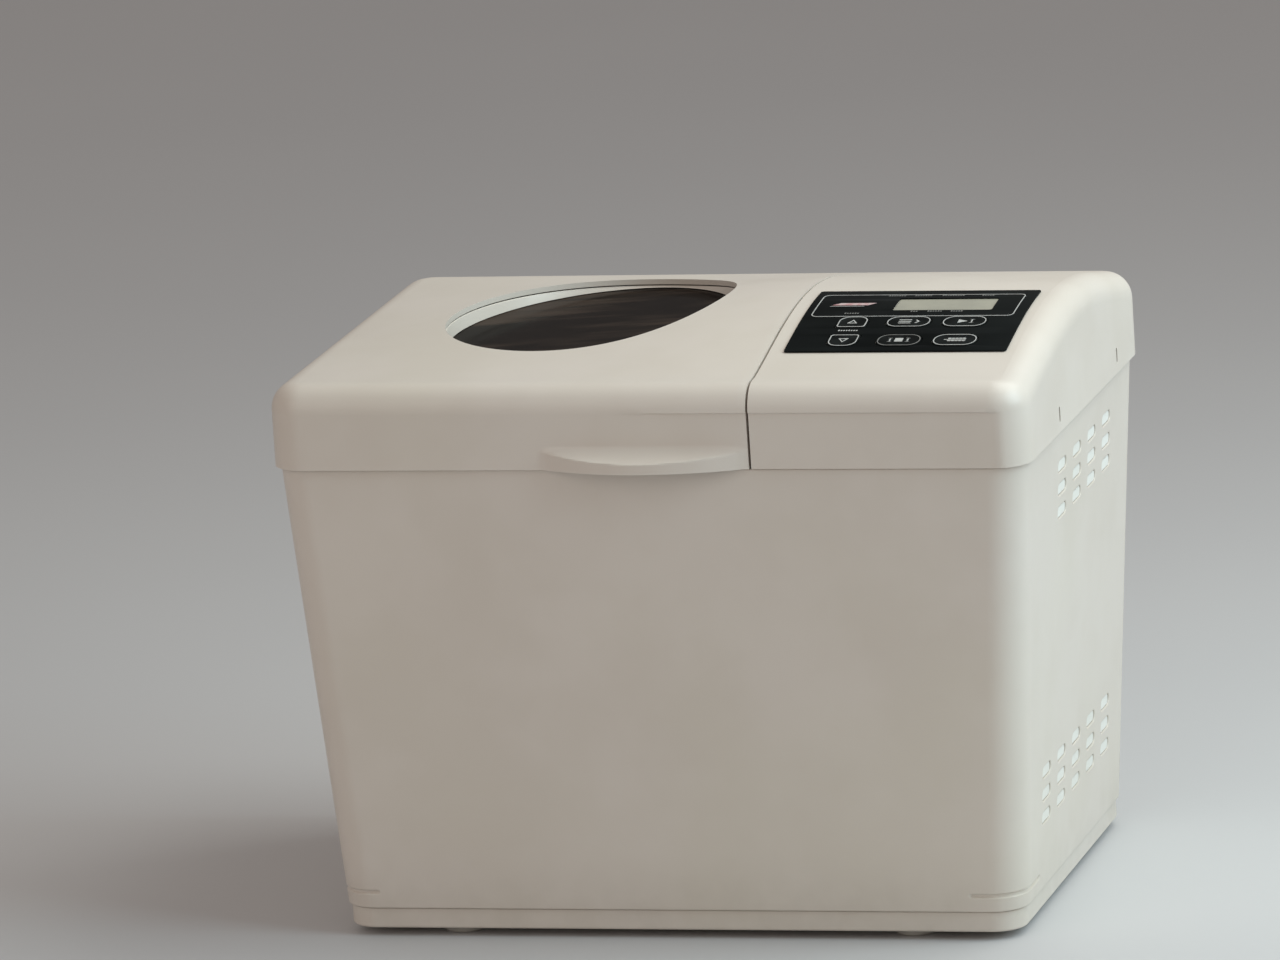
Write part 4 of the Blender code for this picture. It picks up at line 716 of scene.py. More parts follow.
@dataclass
class CoverForm:
    """The arched form shared by the lid and the control cover."""

    side: float = 0.0391
    rise: float = 0.0168
    power: float = 1.2
    front_flat: float = 0.014
    back_flat: float = 0.006
    edge: float = 0.0125
    corner: float = 0.017
    wall: float = 0.0025
    front: float = field(init=False)
    back: float = field(init=False)
    bottom: float = field(init=False)
    top: float = field(init=False)
    left: float = field(init=False)
    right: float = field(init=False)
    lid_seam: float = field(init=False)
    control_seam: float = field(init=False)
    ledge: float = 0.0009
    ledge_fade: Point = (-0.020, 0.020)

    def __post_init__(self) -> None:
        """Take the places from the frame."""
        control_low, control_high = box_of("control_housing")
        lid_low, lid_high = box_of("lid_shell")
        self.front = control_low.y
        self.back = control_high.y
        self.bottom = control_low.z
        self.right = control_high.x
        self.left = lid_low.x
        self.lid_seam = lid_high.x
        self.control_seam = control_low.x
        self.top = self.bottom + self.side

    def height(self, x: float, y: float) -> float:
        """Height of the cover's top surface."""
        share = (y - self.front - self.front_flat) / (
            self.back - self.front - self.front_flat - self.back_flat
        )
        fade = (x - self.left - self.edge) / (self.lid_seam - self.left - self.edge)
        arch = math.sin(math.pi * min(max(share, 0.0), 1.0)) ** self.power
        return self.top + self.rise * min(max(fade, 0.0), 1.0) * arch

    def sunk_face(self, x: float, y: float) -> float:
        """How far the front face lies behind the fine ledge under the rounded edge."""
        across = smooth(x, *self.ledge_fade) * (1 - smooth(y, self.front, self.front + self.ledge))
        return self.ledge * across

    def tilt(self, y: float) -> float:
        """Angle by which the control cover rises towards the back."""
        step = 0.002
        return math.atan2(
            self.height(self.right, y + step) - self.height(self.right, y - step), 2 * step
        )

    def on_control(self, x: float, y: float, lift: float = 0.0) -> Matrix:
        """Frame on the control cover's surface, its Z along the surface's normal."""
        place = Matrix.Translation((x, y, self.height(self.right, y)))
        return place @ Matrix.Rotation(self.tilt(y), 4, "X") @ Matrix.Translation((0, 0, lift))

    def skin(
        self,
        name: str,
        seam: float,
        end: float,
        push: Callable[[Vector], Vector],
        inset: float = 0.0,
        back_inset: float = 0.0,
        columns: int = 40,
        rows: int = 56,
        turns: int = 10,
        levels: int = 16,
    ) -> bpy.types.Mesh:
        """Skin under the arched top, from a flat wall at the seam to a rounded end, open below.

        Args:
            name: The mesh's name.
            seam: X of the flat wall.
            end: X of the rounded end.
            push: Moves a point of the skin to its final place.
            inset: How far the skin lies inside the form.
            back_inset: How far its back lies inside the form.
            columns: Steps from the seam to the end's corner.
            rows: Steps from front to back.
            turns: Steps round each rounded edge.
            levels: Steps up the upright wall.

        Returns:
            The skin.
        """
        side = 1.0 if end > seam else -1.0
        front = self.front + inset
        back = self.back - (back_inset or inset)
        end -= side * inset
        edge = max(self.edge - inset, 0.004)
        corner = max(self.corner - inset, edge + 0.002)
        straight = end - side * corner

        def outline(depth: float) -> list[Point]:
            """Outline from the seam round the end and back, drawn in by depth."""
            run = [(seam + (straight - seam) * i / columns, front + depth) for i in range(columns)]
            bend = arc((0.0, front + corner), corner - depth, -90, 0, turns)
            path = run + [(straight + side * x, y) for x, y in bend]
            depth_y = back - front - 2 * corner
            flank = [(end - side * depth, front + corner + depth_y * j / rows) for j in range(1, rows)]
            return path + flank + [(x, front + back - y) for x, y in reversed(path)]

        bm = bmesh.new()
        base = outline(0.0)
        low = self.bottom + inset / 4
        made = []
        for level in range(levels):
            share = level / levels
            ring = []
            for x, y in base:
                top = self.height(x, y) - inset - edge
                sunk = 0.0 if inset else self.sunk_face(x, y)
                ring.append(bm.verts.new(push(Vector((x, y + sunk, low + (top - low) * share)))))
            made.append(ring)
        for turn in range(turns + 1):
            angle = math.pi / 2 * turn / turns
            fall = inset + edge * (1 - math.sin(angle))
            points = outline(edge * (1 - math.cos(angle)))
            made.append(
                [bm.verts.new(push(Vector((x, y, self.height(x, y) - fall)))) for x, y in points]
            )
        for lower, upper in zip(made, made[1:]):
            for i in range(len(lower) - 1):
                bm.faces.new((lower[i], lower[i + 1], upper[i + 1], upper[i]))
        rim = made[-1]
        count = columns + turns + 1
        grid = []
        for i in range(count - 1):
            first = rim[i]
            last = rim[len(rim) - 1 - i]
            inner = []
            for j in range(1, rows):
                y = first.co.y + (last.co.y - first.co.y) * j / rows
                inner.append(bm.verts.new((first.co.x, y, self.height(first.co.x, y) - inset)))
            grid.append([first] + inner + [last])
        grid.append(rim[count - 1:count + rows])
        for one, other in zip(grid, grid[1:]):
            for j in range(rows):
                bm.faces.new((one[j], other[j], other[j + 1], one[j + 1]))
        sides = [ring[0] for ring in made] + grid[0][1:-1] + [ring[-1] for ring in reversed(made)]
        bm.faces.new(sides)
        bmesh.ops.recalc_face_normals(bm, faces=bm.faces[:])
        bm.normal_update()
        if max(bm.faces, key=lambda face: face.calc_center_median().z).normal.z < 0:
            bmesh.ops.reverse_faces(bm, faces=bm.faces[:])
        mesh = bpy.data.meshes.new(name)
        bm.to_mesh(mesh)
        bm.free()
        return mesh


def stay(point: Vector) -> Vector:
    """Leave a point where it is."""
    return point


def joined(name: str, meshes: Iterable[bpy.types.Mesh]) -> bpy.types.Mesh:
    """One mesh of several."""
    bm = bmesh.new()
    for mesh in meshes:
        bm.from_mesh(mesh)
    return finish_mesh(bm, name)


def side_frame(x: float) -> Matrix:
    """Map a flat outline to an upright plane across X: its X along Y, its Y up."""
    return Matrix.Translation((x, 0, 0)) @ Matrix(((0, 0, 1), (1, 0, 0), (0, 1, 0))).to_4x4()


def slot_outline(y: float, z: float, length: float, height: float, steps: int = 10) -> list[Point]:
    """A slot with round ends, centred on a point of the side wall."""
    low = (y - length / 2, z - height / 2)
    high = (y + length / 2, z + height / 2)
    return rounded(low, high, min(length, height) / 2 - 0.0001, steps)


# Sub-assemblies -----------------------------------------------------------------------------------


@dataclass
class Case:
    """Tapered housing with vents and corner grooves, its base tray and its feet."""

    cover: CoverForm
    corner: float = 0.016
    wall: float = 0.0025
    taper: Point = (0.0125, 0.011)
    vent: Point = (0.0175, 0.0055)
    vent_pitch: Point = (0.0315, 0.0108)
    upper_vents: tuple[int, int, float, float] = (3, 4, 0.0895, -0.0185)
    lower_vents: tuple[int, int, float, float] = (3, 5, 0.0630, -0.1575)
    pad_sink: float = 0.0006
    flare: float = 0.0016
    groove_rise: float = 0.0078
    groove_half: float = 0.0013
    groove_depth: float = 0.0010
    groove_front: Point = (0.0185, 0.0240)
    groove_side: float = 0.0340
    step: float = 0.0010
    rim: float = 0.0006
    baffle: float = 0.0012
    baffle_gap: float = 0.0018
    baffle_corner: float = 0.004
    pad_clearance: float = 0.0009
    cord_hole: float = 0.0085
    tray_floor: float = 0.0022
    tray_wall: float = 0.0025
    tray_edge: float = 0.0012
    chamfer: float = 0.0003
    post_inset: float = 0.016
    post_radii: tuple[float, float, float] = (0.0044, 0.0050, 0.0052)
    foot_edge: float = 0.0012
    tread: float = 0.0006
    tread_rings: tuple[float, float, float, float] = (0.62, 0.58, 0.50, 0.46)

    def half(self, z: float) -> Point:
        """Half width and half depth of the housing at height z."""
        low, high = box_of("housing")
        share = (high.z - z) / (high.z - low.z)
        half_x = (high.x - low.x) / 2 - self.taper[0] * share
        flare = self.flare * (1 - share)
        return half_x + flare, (high.y - low.y) / 2 - self.taper[1] * share + flare

    def quarter(self, half_x: float, half_y: float, corner: float) -> list[tuple[Point, Point]]:
        """Points and outward directions from the front's middle to the right side's middle."""
        straight_x = half_x - corner
        straight_y = half_y - corner
        fine_x = [straight_x - self.step * i for i in range(12, 0, -1)]
        path = [((x, -half_y), (0.0, -1.0)) for x in [0.0] + fine_x]
        for x, y in arc((0.0, 0.0), 1.0, -90, 0, 14):
            path.append(((straight_x + corner * x, -straight_y + corner * y), (x, y)))
        fine_y = [-straight_y + self.step * i for i in range(1, 22)]
        return path + [((half_x, y), (1.0, 0.0)) for y in fine_y]

    def ring(self, z: float, inset: float = 0.0) -> list[tuple[Point, Point]]:
        """Points and outward directions round the housing at height z, drawn in by inset."""
        half_x, half_y = self.half(z)
        front_right = self.quarter(half_x - inset, half_y - inset, self.corner - inset)
        back_right = [((x, -y), (u, -v)) for (x, y), (u, v) in reversed(front_right)]
        right = front_right + back_right
        left = [((-x, y), (-u, v)) for (x, y), (u, v) in reversed(right[1:-1])]
        return right + left

    def groove(self, x: float, y: float, z: float) -> float:
        """Depth of the short grooves that wrap the lower front corners."""
        low, _ = box_of("housing")
        half_x, half_y = self.half(z)
        reach = self.groove_front[1] if x > 0 else self.groove_front[0]
        past = max(half_x - reach - abs(x), 0.0) if abs(x) < half_x - self.corner else 0.0
        past = max(past, y + half_y - self.groove_side, 0.0)
        away = math.hypot(past, z - low.z - self.groove_rise)
        return self.groove_depth * (1 - smooth(away, self.groove_half * 0.3, self.groove_half))

    def wall_ring(self, z: float, inset: float = 0.0) -> list[Vector]:
        """A ring of the wall with the grooves pressed in."""
        middle = self.cover_middle()
        ring = []
        for (x, y), (u, v) in self.ring(z, inset):
            depth = 0.0 if inset else self.groove(x, y, z)
            ring.append(Vector((x - u * depth, middle + y - v * depth, z)))
        return ring

    def cover_middle(self) -> float:
        """Y of the case's middle."""
        return (self.cover.front + self.cover.back) / 2

    def vent_places(self) -> list[Point]:
        """Y and Z of the middle of each vent."""
        places = []
        top = box_of("housing")[1].z
        for rows, columns, first, below in (self.upper_vents, self.lower_vents):
            for row in range(rows):
                z = top + below - row * self.vent_pitch[1]
                y = self.cover.front + first
                places += [(y + column * self.vent_pitch[0], z) for column in range(columns)]
        return places

    def housing(self) -> None:
        """Outer wall."""
        low, high = box_of("housing")
        band = low.z + self.groove_rise
        fine = [band + self.groove_half * i / 5 for i in range(-6, 7)]
        levels = [low.z, low.z + 0.003] + fine + [band + 0.006, high.z]
        rings = [self.wall_ring(z) for z in levels]
        rings += [self.wall_ring(z, self.wall) for z in (high.z, low.z)]
        shell = Piece("housing_wall", loft("housing_wall", rings, closed=True), IVORY)
        outlines = [slot_outline(y, z, *self.vent) for y, z in self.vent_places()]
        half_x, _ = self.half((low.z + high.z) / 2)
        shell.combine(prism("vents", outlines, CUTTER / 2, side_frame(half_x)))
        gland_low, gland_high = box_of("cord_gland")
        gland = (gland_low + gland_high) / 2
        through = Vector((0, CUTTER / 2, 0))
        shell.combine(rod("cord_hole", self.cord_hole, gland - through, gland + through))
        shell.edges(self.rim, 3, 50).done("housing")

    def baffles(self) -> None:
        """Splash baffles close behind each group of vents, in a lighter copy of the case plastic as
        painted light.
        """
        places = self.vent_places()
        count = self.upper_vents[0] * self.upper_vents[1]
        for name, group in (("upper", places[:count]), ("lower", places[count:])):
            ys = [y for y, _ in group]
            zs = [z for _, z in group]
            low = (min(ys) - self.vent[0], min(zs) - self.vent[1])
            high = (max(ys) + self.vent[0], max(zs) + self.vent[1])
            lean = math.atan2(self.taper[0], box_of("housing")[1].z - box_of("housing")[0].z)
            middle = (min(zs) + max(zs)) / 2
            upright = Matrix.Translation(
                (self.half(middle)[0], 0.0, middle)
            ) @ Matrix.Rotation(lean, 4, "Y")
            upright = upright @ Matrix.Translation((0, 0, -middle)) @ side_frame(0.0)
            sunk = self.wall + self.baffle_gap
            back = upright @ Matrix.Translation((0, 0, -sunk))
            plate = prism(name, [rounded(low, high, self.baffle_corner)], self.baffle, back)
            size = (self.vent[0] - self.pad_clearance, self.vent[1] - self.pad_clearance)
            pads = [slot_outline(y, middle + (z - middle) / math.cos(lean), *size) for y, z in group]
            inner = upright @ Matrix.Translation((0, 0, -(sunk + self.pad_sink) / 2))
            raised = prism(name, pads, sunk - self.pad_sink, inner)
            # The lighter plastic here is painted light, not a different moulding.
            baffle = Piece(f"vent_baffle_{name}", plate, PAINTED_LIT_IVORY).combine(raised, "UNION")
            baffle.edges(0.0003, 2).done()

    def tray(self) -> None:
        """Base tray with a softened lower edge, and its posts."""
        low, high = box_of("base_tray")
        middle = self.cover_middle()
        bottom = box_of("housing")[0].z
        inset = box_of("housing")[1].x - self.taper[0] - high.x
        floor = low.z + self.tray_floor
        height = bottom - GAP
        soft = self.tray_edge

        def ring(grow: float, z: float) -> list[Vector]:
            """Ring of the tray, grown outwards."""
            points = self.ring(bottom, inset - grow)
            return [Vector((x, middle + y, z)) for (x, y), _ in points]

        turns = [math.pi / 2 * i / 4 for i in range(5)]
        rings = [ring(-soft + soft * math.sin(a), low.z + soft - soft * math.cos(a)) for a in turns]
        rings += [
            ring(-self.chamfer * i / 2, height - self.chamfer + self.chamfer * i / 2) for i in range(3)
        ]
        rings += [ring(-self.tray_wall, height), ring(-self.tray_wall, floor)]
        Piece("base_strip", loft("base_strip", rings, capped=True), IVORY).done("base_tray")
        half_x, half_y = self.half(bottom)
        top = box_of("chassis_plate")[0].z - GAP
        tip, neck, root = self.post_radii
        taper = [(0.0, top), (tip, top), (neck, top - 2 * self.chamfer), (root, floor), (0.0, floor)]
        for side in (-1, 1):
            for end, word in ((-1, "front"), (1, "rear")):
                x = side * (half_x - self.post_inset)
                y = middle + end * (half_y - self.post_inset)
                mesh = turned("post", taper, Vector((x, y, 0.0)), 32)
                Piece(f"chassis_post_{word}_{'left' if side < 0 else 'right'}", mesh, IVORY).done()

    def feet(self) -> None:
        """Four pale round feet with a moulded ring."""
        for name in ("foot_front_left", "foot_front_right", "foot_rear_left", "foot_rear_right"):
            low, high = box_of(name)
            radius = (high.x - low.x) / 2
            place = Vector(((low.x + high.x) / 2, (low.y + high.y) / 2, 0.0))
            edge = self.foot_edge
            rounding = [(radius - edge + x, edge + z) for x, z in arc((0, 0), edge, 0, -90, 6)]
            depths = (0.0, self.tread, self.tread, 0.0)
            tread = [(radius * share, depth) for share, depth in zip(self.tread_rings, depths)]
            profile = [(0.0, high.z), (radius, high.z)] + rounding + tread + [(0.0, 0.0)]
            Piece(f"round_{name}", turned(name, profile, place, 56), FOOT).done(name)

    def build(self) -> None:
        """Build the whole case."""
        self.housing()
        self.baffles()
        self.tray()
        self.feet()


@dataclass
class Lid:
    """Hinged lid: shell with a scooped finger lip, window and liner."""

    cover: CoverForm
    lip_half: float = 0.0478
    lip_offset: float = 0.0497
    lip_face: float = 0.0050
    lip_rise: float = 0.0110
    lap: float = 0.003
    slope: float = 0.060
    hinge_radius: float = 0.0122
    liner_inset: float = 0.006
    liner_back: float = 0.018
    liner_wall: float = 0.0010
    liner_rim: float = 0.0055
    rim: float = 0.0007
    lug_gap: float = 0.0006
    pin_sink: float = 0.0002
    notch_room: float = 0.0008
    notch_rise: float = 0.0085
    lug_drop: float = 0.004
    lug_rise: float = 0.009
    bore: float = 0.0023
    glass: float = 0.003
    frame_wall: float = 0.002
    frame_edge: float = 0.0004
    frame_taper: float = 0.0008
    retainer: float = 0.0015
    retainer_lap: Point = (0.004, -0.007)

    def window(self) -> tuple[Point, Point]:
        """Middle and half axes of the window's opening."""
        low, high = box_of("window_bezel")
        wall = self.frame_wall
        middle = ((low.x + high.x) / 2, (low.y + high.y) / 2)
        return middle, ((high.x - low.x) / 2 - wall, (high.y - low.y) / 2 - wall)

    def scoop(self, point: Vector) -> Vector:
        """Push the front wall out into the finger lip."""
        rise = point.z - self.cover.bottom
        share = (point.x - self.cover.lid_seam + self.lip_offset) / self.lip_half
        if abs(share) >= 1 or rise > self.lip_rise or point.y > self.cover.front + 0.001:
            return point
        reach = (self.cover.front - box_of("lid_shell")[0].y) * (1 - share * share)
        face = self.lip_face + (self.lip_rise - self.lip_face) * 0.6 * share * share
        fall = max(rise - face, 0.0) / (self.lip_rise - face)
        return point - Vector(
            (0.0, reach * (1 - fall) ** 1.6 * (1 - 0.12 * smooth(fall, 0.0, 0.3)), 0.0)
        )

    def hinge_sides(self) -> list[tuple[float, float, float, float]]:
        """X ranges of each deck lug and the lid lug beside it."""
        sides = []
        for side, sign in (("left", 1), ("right", -1)):
            deck_low, deck_high = box_of(f"hinge_bracket_{side}")
            pin_low, pin_high = box_of(f"hinge_pin_{side}")
            near = (deck_high.x if sign > 0 else deck_low.x) + sign * self.lug_gap
            far = (pin_high.x if sign > 0 else pin_low.x) + sign * self.pin_sink
            sides.append((deck_low.x, deck_high.x, min(near, far), max(near, far)))
        return sides

    def shell(self) -> None:
        """Outer shell."""
        cover = self.cover
        mesh = cover.skin("lid", cover.lid_seam, cover.left, self.scoop, columns=72, levels=40)
        shell = Piece("lid_cover", mesh, IVORY, "lid").wall(cover.wall)
        middle, half = self.window()
        above = Matrix.Translation((0, 0, cover.top))
        hole = prism("hole", [ellipse(*half, middle=middle)], CUTTER, above)
        pin_low, pin_high = box_of("hinge_pin_left")
        hinge = (pin_low + pin_high) / 2
        far = cover.back + 0.02
        low = cover.bottom - 0.01
        sweep = arc((hinge.y, hinge.z), self.hinge_radius, 0, -90, 32)
        outline = [(hinge.y, low), (far, low), (far, hinge.z)] + sweep
        trim = prism("trim", [outline], 2 * (cover.right - cover.left), side_frame(0.0))
        shell.combine(hole).combine(trim)
        for deck_low, deck_high, lug_low, lug_high in self.hinge_sides():
            start = (deck_low - self.notch_room, hinge.y - 0.001, low)
            notch = block("notch", start, (deck_high + self.notch_room, far, hinge.z + self.notch_rise))
            start = (lug_low, hinge.y - self.lug_drop, hinge.z - self.lug_drop)
            lug = block("lug", start, (lug_high, cover.back - 0.001, hinge.z + self.lug_rise))
            ends = (lug_low - 0.001, hinge.y, hinge.z), (lug_high + 0.001, hinge.y, hinge.z)
            shell.combine(notch).combine(lug, "UNION").combine(rod("bore", self.bore, *ends))
        shell.edges(self.rim, 3, 55).done("lid_shell")

    def glass_place(self, drop: float) -> Matrix:
        """Frame in the glass's plane, drop below its upper face."""
        (x, y), _ = self.window()
        low, high = box_of("window_glass")
        tilt = math.atan(self.slope)
        top = (low.z + high.z) / 2 + self.glass / 2 / math.cos(tilt)
        plane = Matrix.Translation((x, y, top)) @ Matrix.Rotation(-tilt, 4, "Y")
        return plane @ Matrix.Translation((0, 0, -drop))

    def glazing(self) -> None:
        """Glass, the recess wall round it and the ring below."""
        (x, y), half = self.window()
        outline = ellipse(half[0] + self.lap, half[1] + self.lap)
        pane = prism("pane", [outline], self.glass, self.glass_place(self.glass / 2))
        Piece("viewing_glass", pane, GLASS, "lid").edges(0.0006, 3).done("window_glass")
        glass_top = self.glass_place(0.0)
        wall = self.frame_wall
        edge = self.frame_edge
        rings = []
        for grow, is_top in (
            (wall, True), (edge, True), (0.0, True), (-self.frame_taper, False), (wall, False)
        ):
            ring = []
            for px, py in ellipse(half[0] + grow, half[1] + grow, middle=(x, y)):
                top = self.cover.height(px, py) - self.cover.wall - 2 * GAP - (0.0 if grow else edge)
                glass = glass_top.translation.z + self.slope * (px - x) + GAP
                ring.append(Vector((px, py, top if is_top else glass)))
            rings.append(ring)
        Piece("recess_wall", loft("recess_wall", rings, closed=True), IVORY, "lid").done("window_bezel")
        grown = [self.lap + lap for lap in self.retainer_lap]
        outlines = [ellipse(half[0] + grow, half[1] + grow) for grow in grown]
        drop = self.glass + GAP + self.retainer / 2
        ring = prism("retainer", outlines, self.retainer, self.glass_place(drop))
        Piece("retaining_ring", ring, DARK, "lid").edges(0.0004, 2).done("window_retainer")

    def liner(self) -> None:
        """Pressed steel inner skin."""
        cover = self.cover
        finer = {"columns": 30, "rows": 40, "turns": 6, "levels": 4}
        seam = cover.lid_seam - self.liner_inset
        mesh = cover.skin("liner", seam, cover.left, stay, self.liner_inset, self.liner_back, **finer)
        liner = Piece("pressed_liner", mesh, LINER, "lid").wall(self.liner_wall)
        middle, half = self.window()
        grow = self.lap + self.liner_rim
        outline = ellipse(half[0] + grow, half[1] + grow, middle=middle)
        liner.combine(prism("hole", [outline], CUTTER, Matrix.Translation((0, 0, cover.top))))
        liner.edges(0.0003, 2, 55).done("lid_liner")

    def build(self) -> None:
        """Build the whole lid."""
        self.shell()
        self.glazing()
        self.liner()


class Mark(Enum):
    """The plain sign printed on a key."""

    UP = "hollow triangle up"
    DOWN = "hollow triangle down"
    LIST = "three bars and a chevron"
    PLAY = "solid triangle and bar"
    STOP = "square and bar"
    EAR = "ear of grain"


@dataclass
class Controls:
    """Fixed cover on the right with its printed film, keys and display."""

    cover: CoverForm
    clearance: float = 0.00035
    film: float = 0.0006
    gap: float = GAP
    corner: float = 0.0016
    key_height: float = 0.0068
    key_depth: float = 0.0131
    timer_depth: float = 0.0134
    key_proud: float = 0.0002
    print_inset: float = 0.0006
    lens: float = 0.003
    lens_depth: float = 0.0165
    lens_corner: float = 0.0008
    tick_pitch: float = 0.0012
    line: float = 0.00045
    ink: float = 0.00010
    slot_size: Point = (0.0024, 0.0075)
    slot_rise: float = 0.0045
    side_slots: Point = (0.074, 0.1975)
    frame_low: Point = (0.0035, 0.0395)
    frame_high: Point = (0.0998, 0.0705)

    KEYS = {
        "key_timer_down": Mark.DOWN,
        "key_stop": Mark.STOP,
        "key_grain": Mark.EAR,
        "key_timer_up": Mark.UP,
        "key_select": Mark.LIST,
        "key_start": Mark.PLAY,
    }

    def origin(self) -> Vector:
        """Front left corner of the film."""
        return box_of("control_overlay")[0]

    def key_place(self, name: str, lift: float = 0.0) -> Matrix:
        """Frame on the surface at a key's middle."""
        low, high = box_of(name)
        x = (low.x + high.x) / 2
        middle = (low + high) / 2
        y = middle.y
        for _ in range(4):
            y = middle.y - math.sin(self.cover.tilt(y)) * self.sunk()
        return self.cover.on_control(x, y, lift)

    def sunk(self) -> float:
        """How far a key's middle lies below the surface."""
        return self.key_height / 2 - self.gap - self.film - self.key_proud

    def key_outline(self, name: str, grow: float) -> list[Point]:
        """Outline of one key, grown outwards."""
        low, high = box_of(name)
        width = high.x - low.x + 2 * grow
        if name.startswith("key_timer"):
            depth = self.timer_depth + 2 * grow
            wide = depth * 0.42
            tight = depth * 0.12
            points = arc((width / 2 - tight, -depth / 2 + tight), tight, -90, 0, 4)
            points += arc((width / 2 - wide, depth / 2 - wide), wide, 0, 90, 12)
            points += arc((-width / 2 + wide, depth / 2 - wide), wide, 90, 180, 12)
            points += arc((-width / 2 + tight, -depth / 2 + tight), tight, 180, 270, 4)
            return points if name.endswith("up") else [(-x, -y) for x, y in points]
        depth = self.key_depth + 2 * grow
        return rounded((-width / 2, -depth / 2), (width / 2, depth / 2), depth / 2 - 0.0004, 14)

    def display_place(self, lift: float) -> Matrix:
        """Frame on the surface at the display's middle."""
        low, high = box_of("display_lens")
        middle = (low + high) / 2
        y = middle.y - math.sin(self.cover.tilt(middle.y)) * (self.lens / 2 - self.gap)
        return self.cover.on_control(middle.x, y, lift)

    def display_outline(self, grow: float) -> list[Point]:
        """Outline of the display's opening."""
        low, high = box_of("display_lens")
        half_x = (high.x - low.x) / 2 + grow
        half_y = self.lens_depth / 2 + grow
        return rounded((-half_x, -half_y), (half_x, half_y), self.lens_corner + grow, 4)

    def openings(self) -> bpy.types.Mesh:
        """Cutters for the keys and the display."""
        names = list(self.KEYS)
        cutters = [
            prism(n, [self.key_outline(n, self.clearance)], 0.02, self.key_place(n)) for n in names
        ]
        cutters.append(
            prism("display", [self.display_outline(self.clearance)], 0.02, self.display_place(0.0))
        )
        return joined("openings", cutters)

    def shell(self) -> None:
        """Arched cover with its openings."""
        cover = self.cover
        mesh = cover.skin("controls", cover.control_seam, cover.right, stay, columns=30, levels=36)
        shell = Piece("control_cover", mesh, IVORY).wall(cover.wall).combine(self.openings())
        z = cover.bottom + self.slot_rise + self.slot_size[1] / 2
        slots = [slot_outline(cover.front + y, z, *self.slot_size) for y in self.side_slots]
        shell.combine(prism("slots", slots, 0.02, side_frame(cover.right)))
        shell.edges(0.0005, 3, 55).done("control_housing")

    def on_film(self, mesh: bpy.types.Mesh, lift: float) -> bpy.types.Mesh:
        """Bend a flat mesh in plan coordinates onto the arched film."""
        for vertex in mesh.vertices:
            vertex.co.z += self.cover.height(self.cover.right, vertex.co.y) + lift
        return mesh

    def sheet(self) -> None:
        """Black film bonded to the cover."""
        low, high = box_of("control_overlay")
        rows = 40
        depth = high.y - low.y
        bm = bmesh.new()
        lines = []
        for row in range(rows + 1):
            y = low.y + depth * row / rows
            z = self.cover.height(self.cover.right, y) + self.gap + self.film
            lines.append([bm.verts.new((x, y, z)) for x in (low.x, high.x)])
        for first, second in zip(lines, lines[1:]):
            bm.faces.new((first[0], first[1], second[1], second[0]))
        bm.normal_update()
        mesh = bpy.data.meshes.new("film")
        bm.to_mesh(mesh)
        bm.free()
        film = Piece("control_film", mesh, FILM).wall(self.film)
        outline = rounded((low.x, low.y), (high.x, high.y), self.corner, 6)
        film.combine(prism("trim", [outline], 0.2, Matrix.Translation((0, 0, high.z))), "INTERSECT")
        film.combine(self.openings()).edges(0.00012, 1, 60).done("control_overlay")

    def mark_outlines(self, mark: Mark) -> list[list[Point]]:
        """Outlines of a key's sign about its middle."""
        sides = {Mark.UP: 1, Mark.DOWN: -1}
        if mark in sides:
            turn = sides[mark]
            outer = [
                (-0.0024 * turn, -0.0019 * turn), (0.0024 * turn, -0.0019 * turn), (0.0, 0.0023 * turn)
            ]
            return [outer, [(x * 0.6, y * 0.6 - 0.0001 * turn) for x, y in outer]]

        def bar(x: float, y: float, length: float, height: float) -> list[Point]:
            """A small rounded bar."""
            return rounded(
                (x - length / 2, y - height / 2), (x + length / 2, y + height / 2), height * 0.4, 3
            )

        if mark is Mark.LIST:
            marks = [bar(-0.0018, y, 0.0060, 0.0007) for y in (-0.0019, 0.0, 0.0019)]
            chevron = [
                (0.0030, 0.0018), (0.0038, 0.0018), (0.0052, 0.0), (0.0038, -0.0018), (0.0030, -0.0018)
            ]
            return marks + [chevron + [(0.0044, 0.0)]]
        if mark is Mark.PLAY:
            triangle = [(-0.0030, -0.0020), (0.0014, 0.0), (-0.0030, 0.0020)]
            return [triangle, bar(0.0034, 0.0, 0.0008, 0.0040)]
        if mark is Mark.STOP:
            square = rounded((-0.0019, -0.0019), (0.0019, 0.0019), 0.0003, 3)
            return [square, bar(-0.0042, 0.0, 0.0008, 0.0038), bar(0.0042, 0.0, 0.0008, 0.0038)]
        stem = bar(0.0, 0.0, 0.0104, 0.0005)
        seeds = []
        for step in range(5):
            for side in (-1, 1):
                middle = (-0.0026 + step * 0.0017, side * 0.00125)
                seeds.append(ellipse(0.00095, 0.00055, 16, middle))
        return [stem] + seeds

    def keys(self) -> None:
        """Key caps with their printed outline and sign."""
        for name, mark in self.KEYS.items():
            top = self.gap + self.film + self.key_proud
            middle = self.key_place(name, top - self.key_height / 2)
            cap = prism(name, [self.key_outline(name, 0.0)], self.key_height, middle)
            Piece(f"cap_{name}", cap, KEY_FILM, name).edges(0.00025, 2, 50).done(name)
            place = self.key_place(name, top + self.ink / 2)
            insets = (self.print_inset, self.print_inset + self.line)
            ring = prism("ring", [self.key_outline(name, -inset) for inset in insets], self.ink, place)
            Piece(f"outline_{name}", ring, FAINT_PRINT if mark is Mark.STOP else PRINT, name).done()
            sign = prism("sign", self.mark_outlines(mark), self.ink, place)
            Piece(f"sign_{name}", sign, PRINT, name).done()

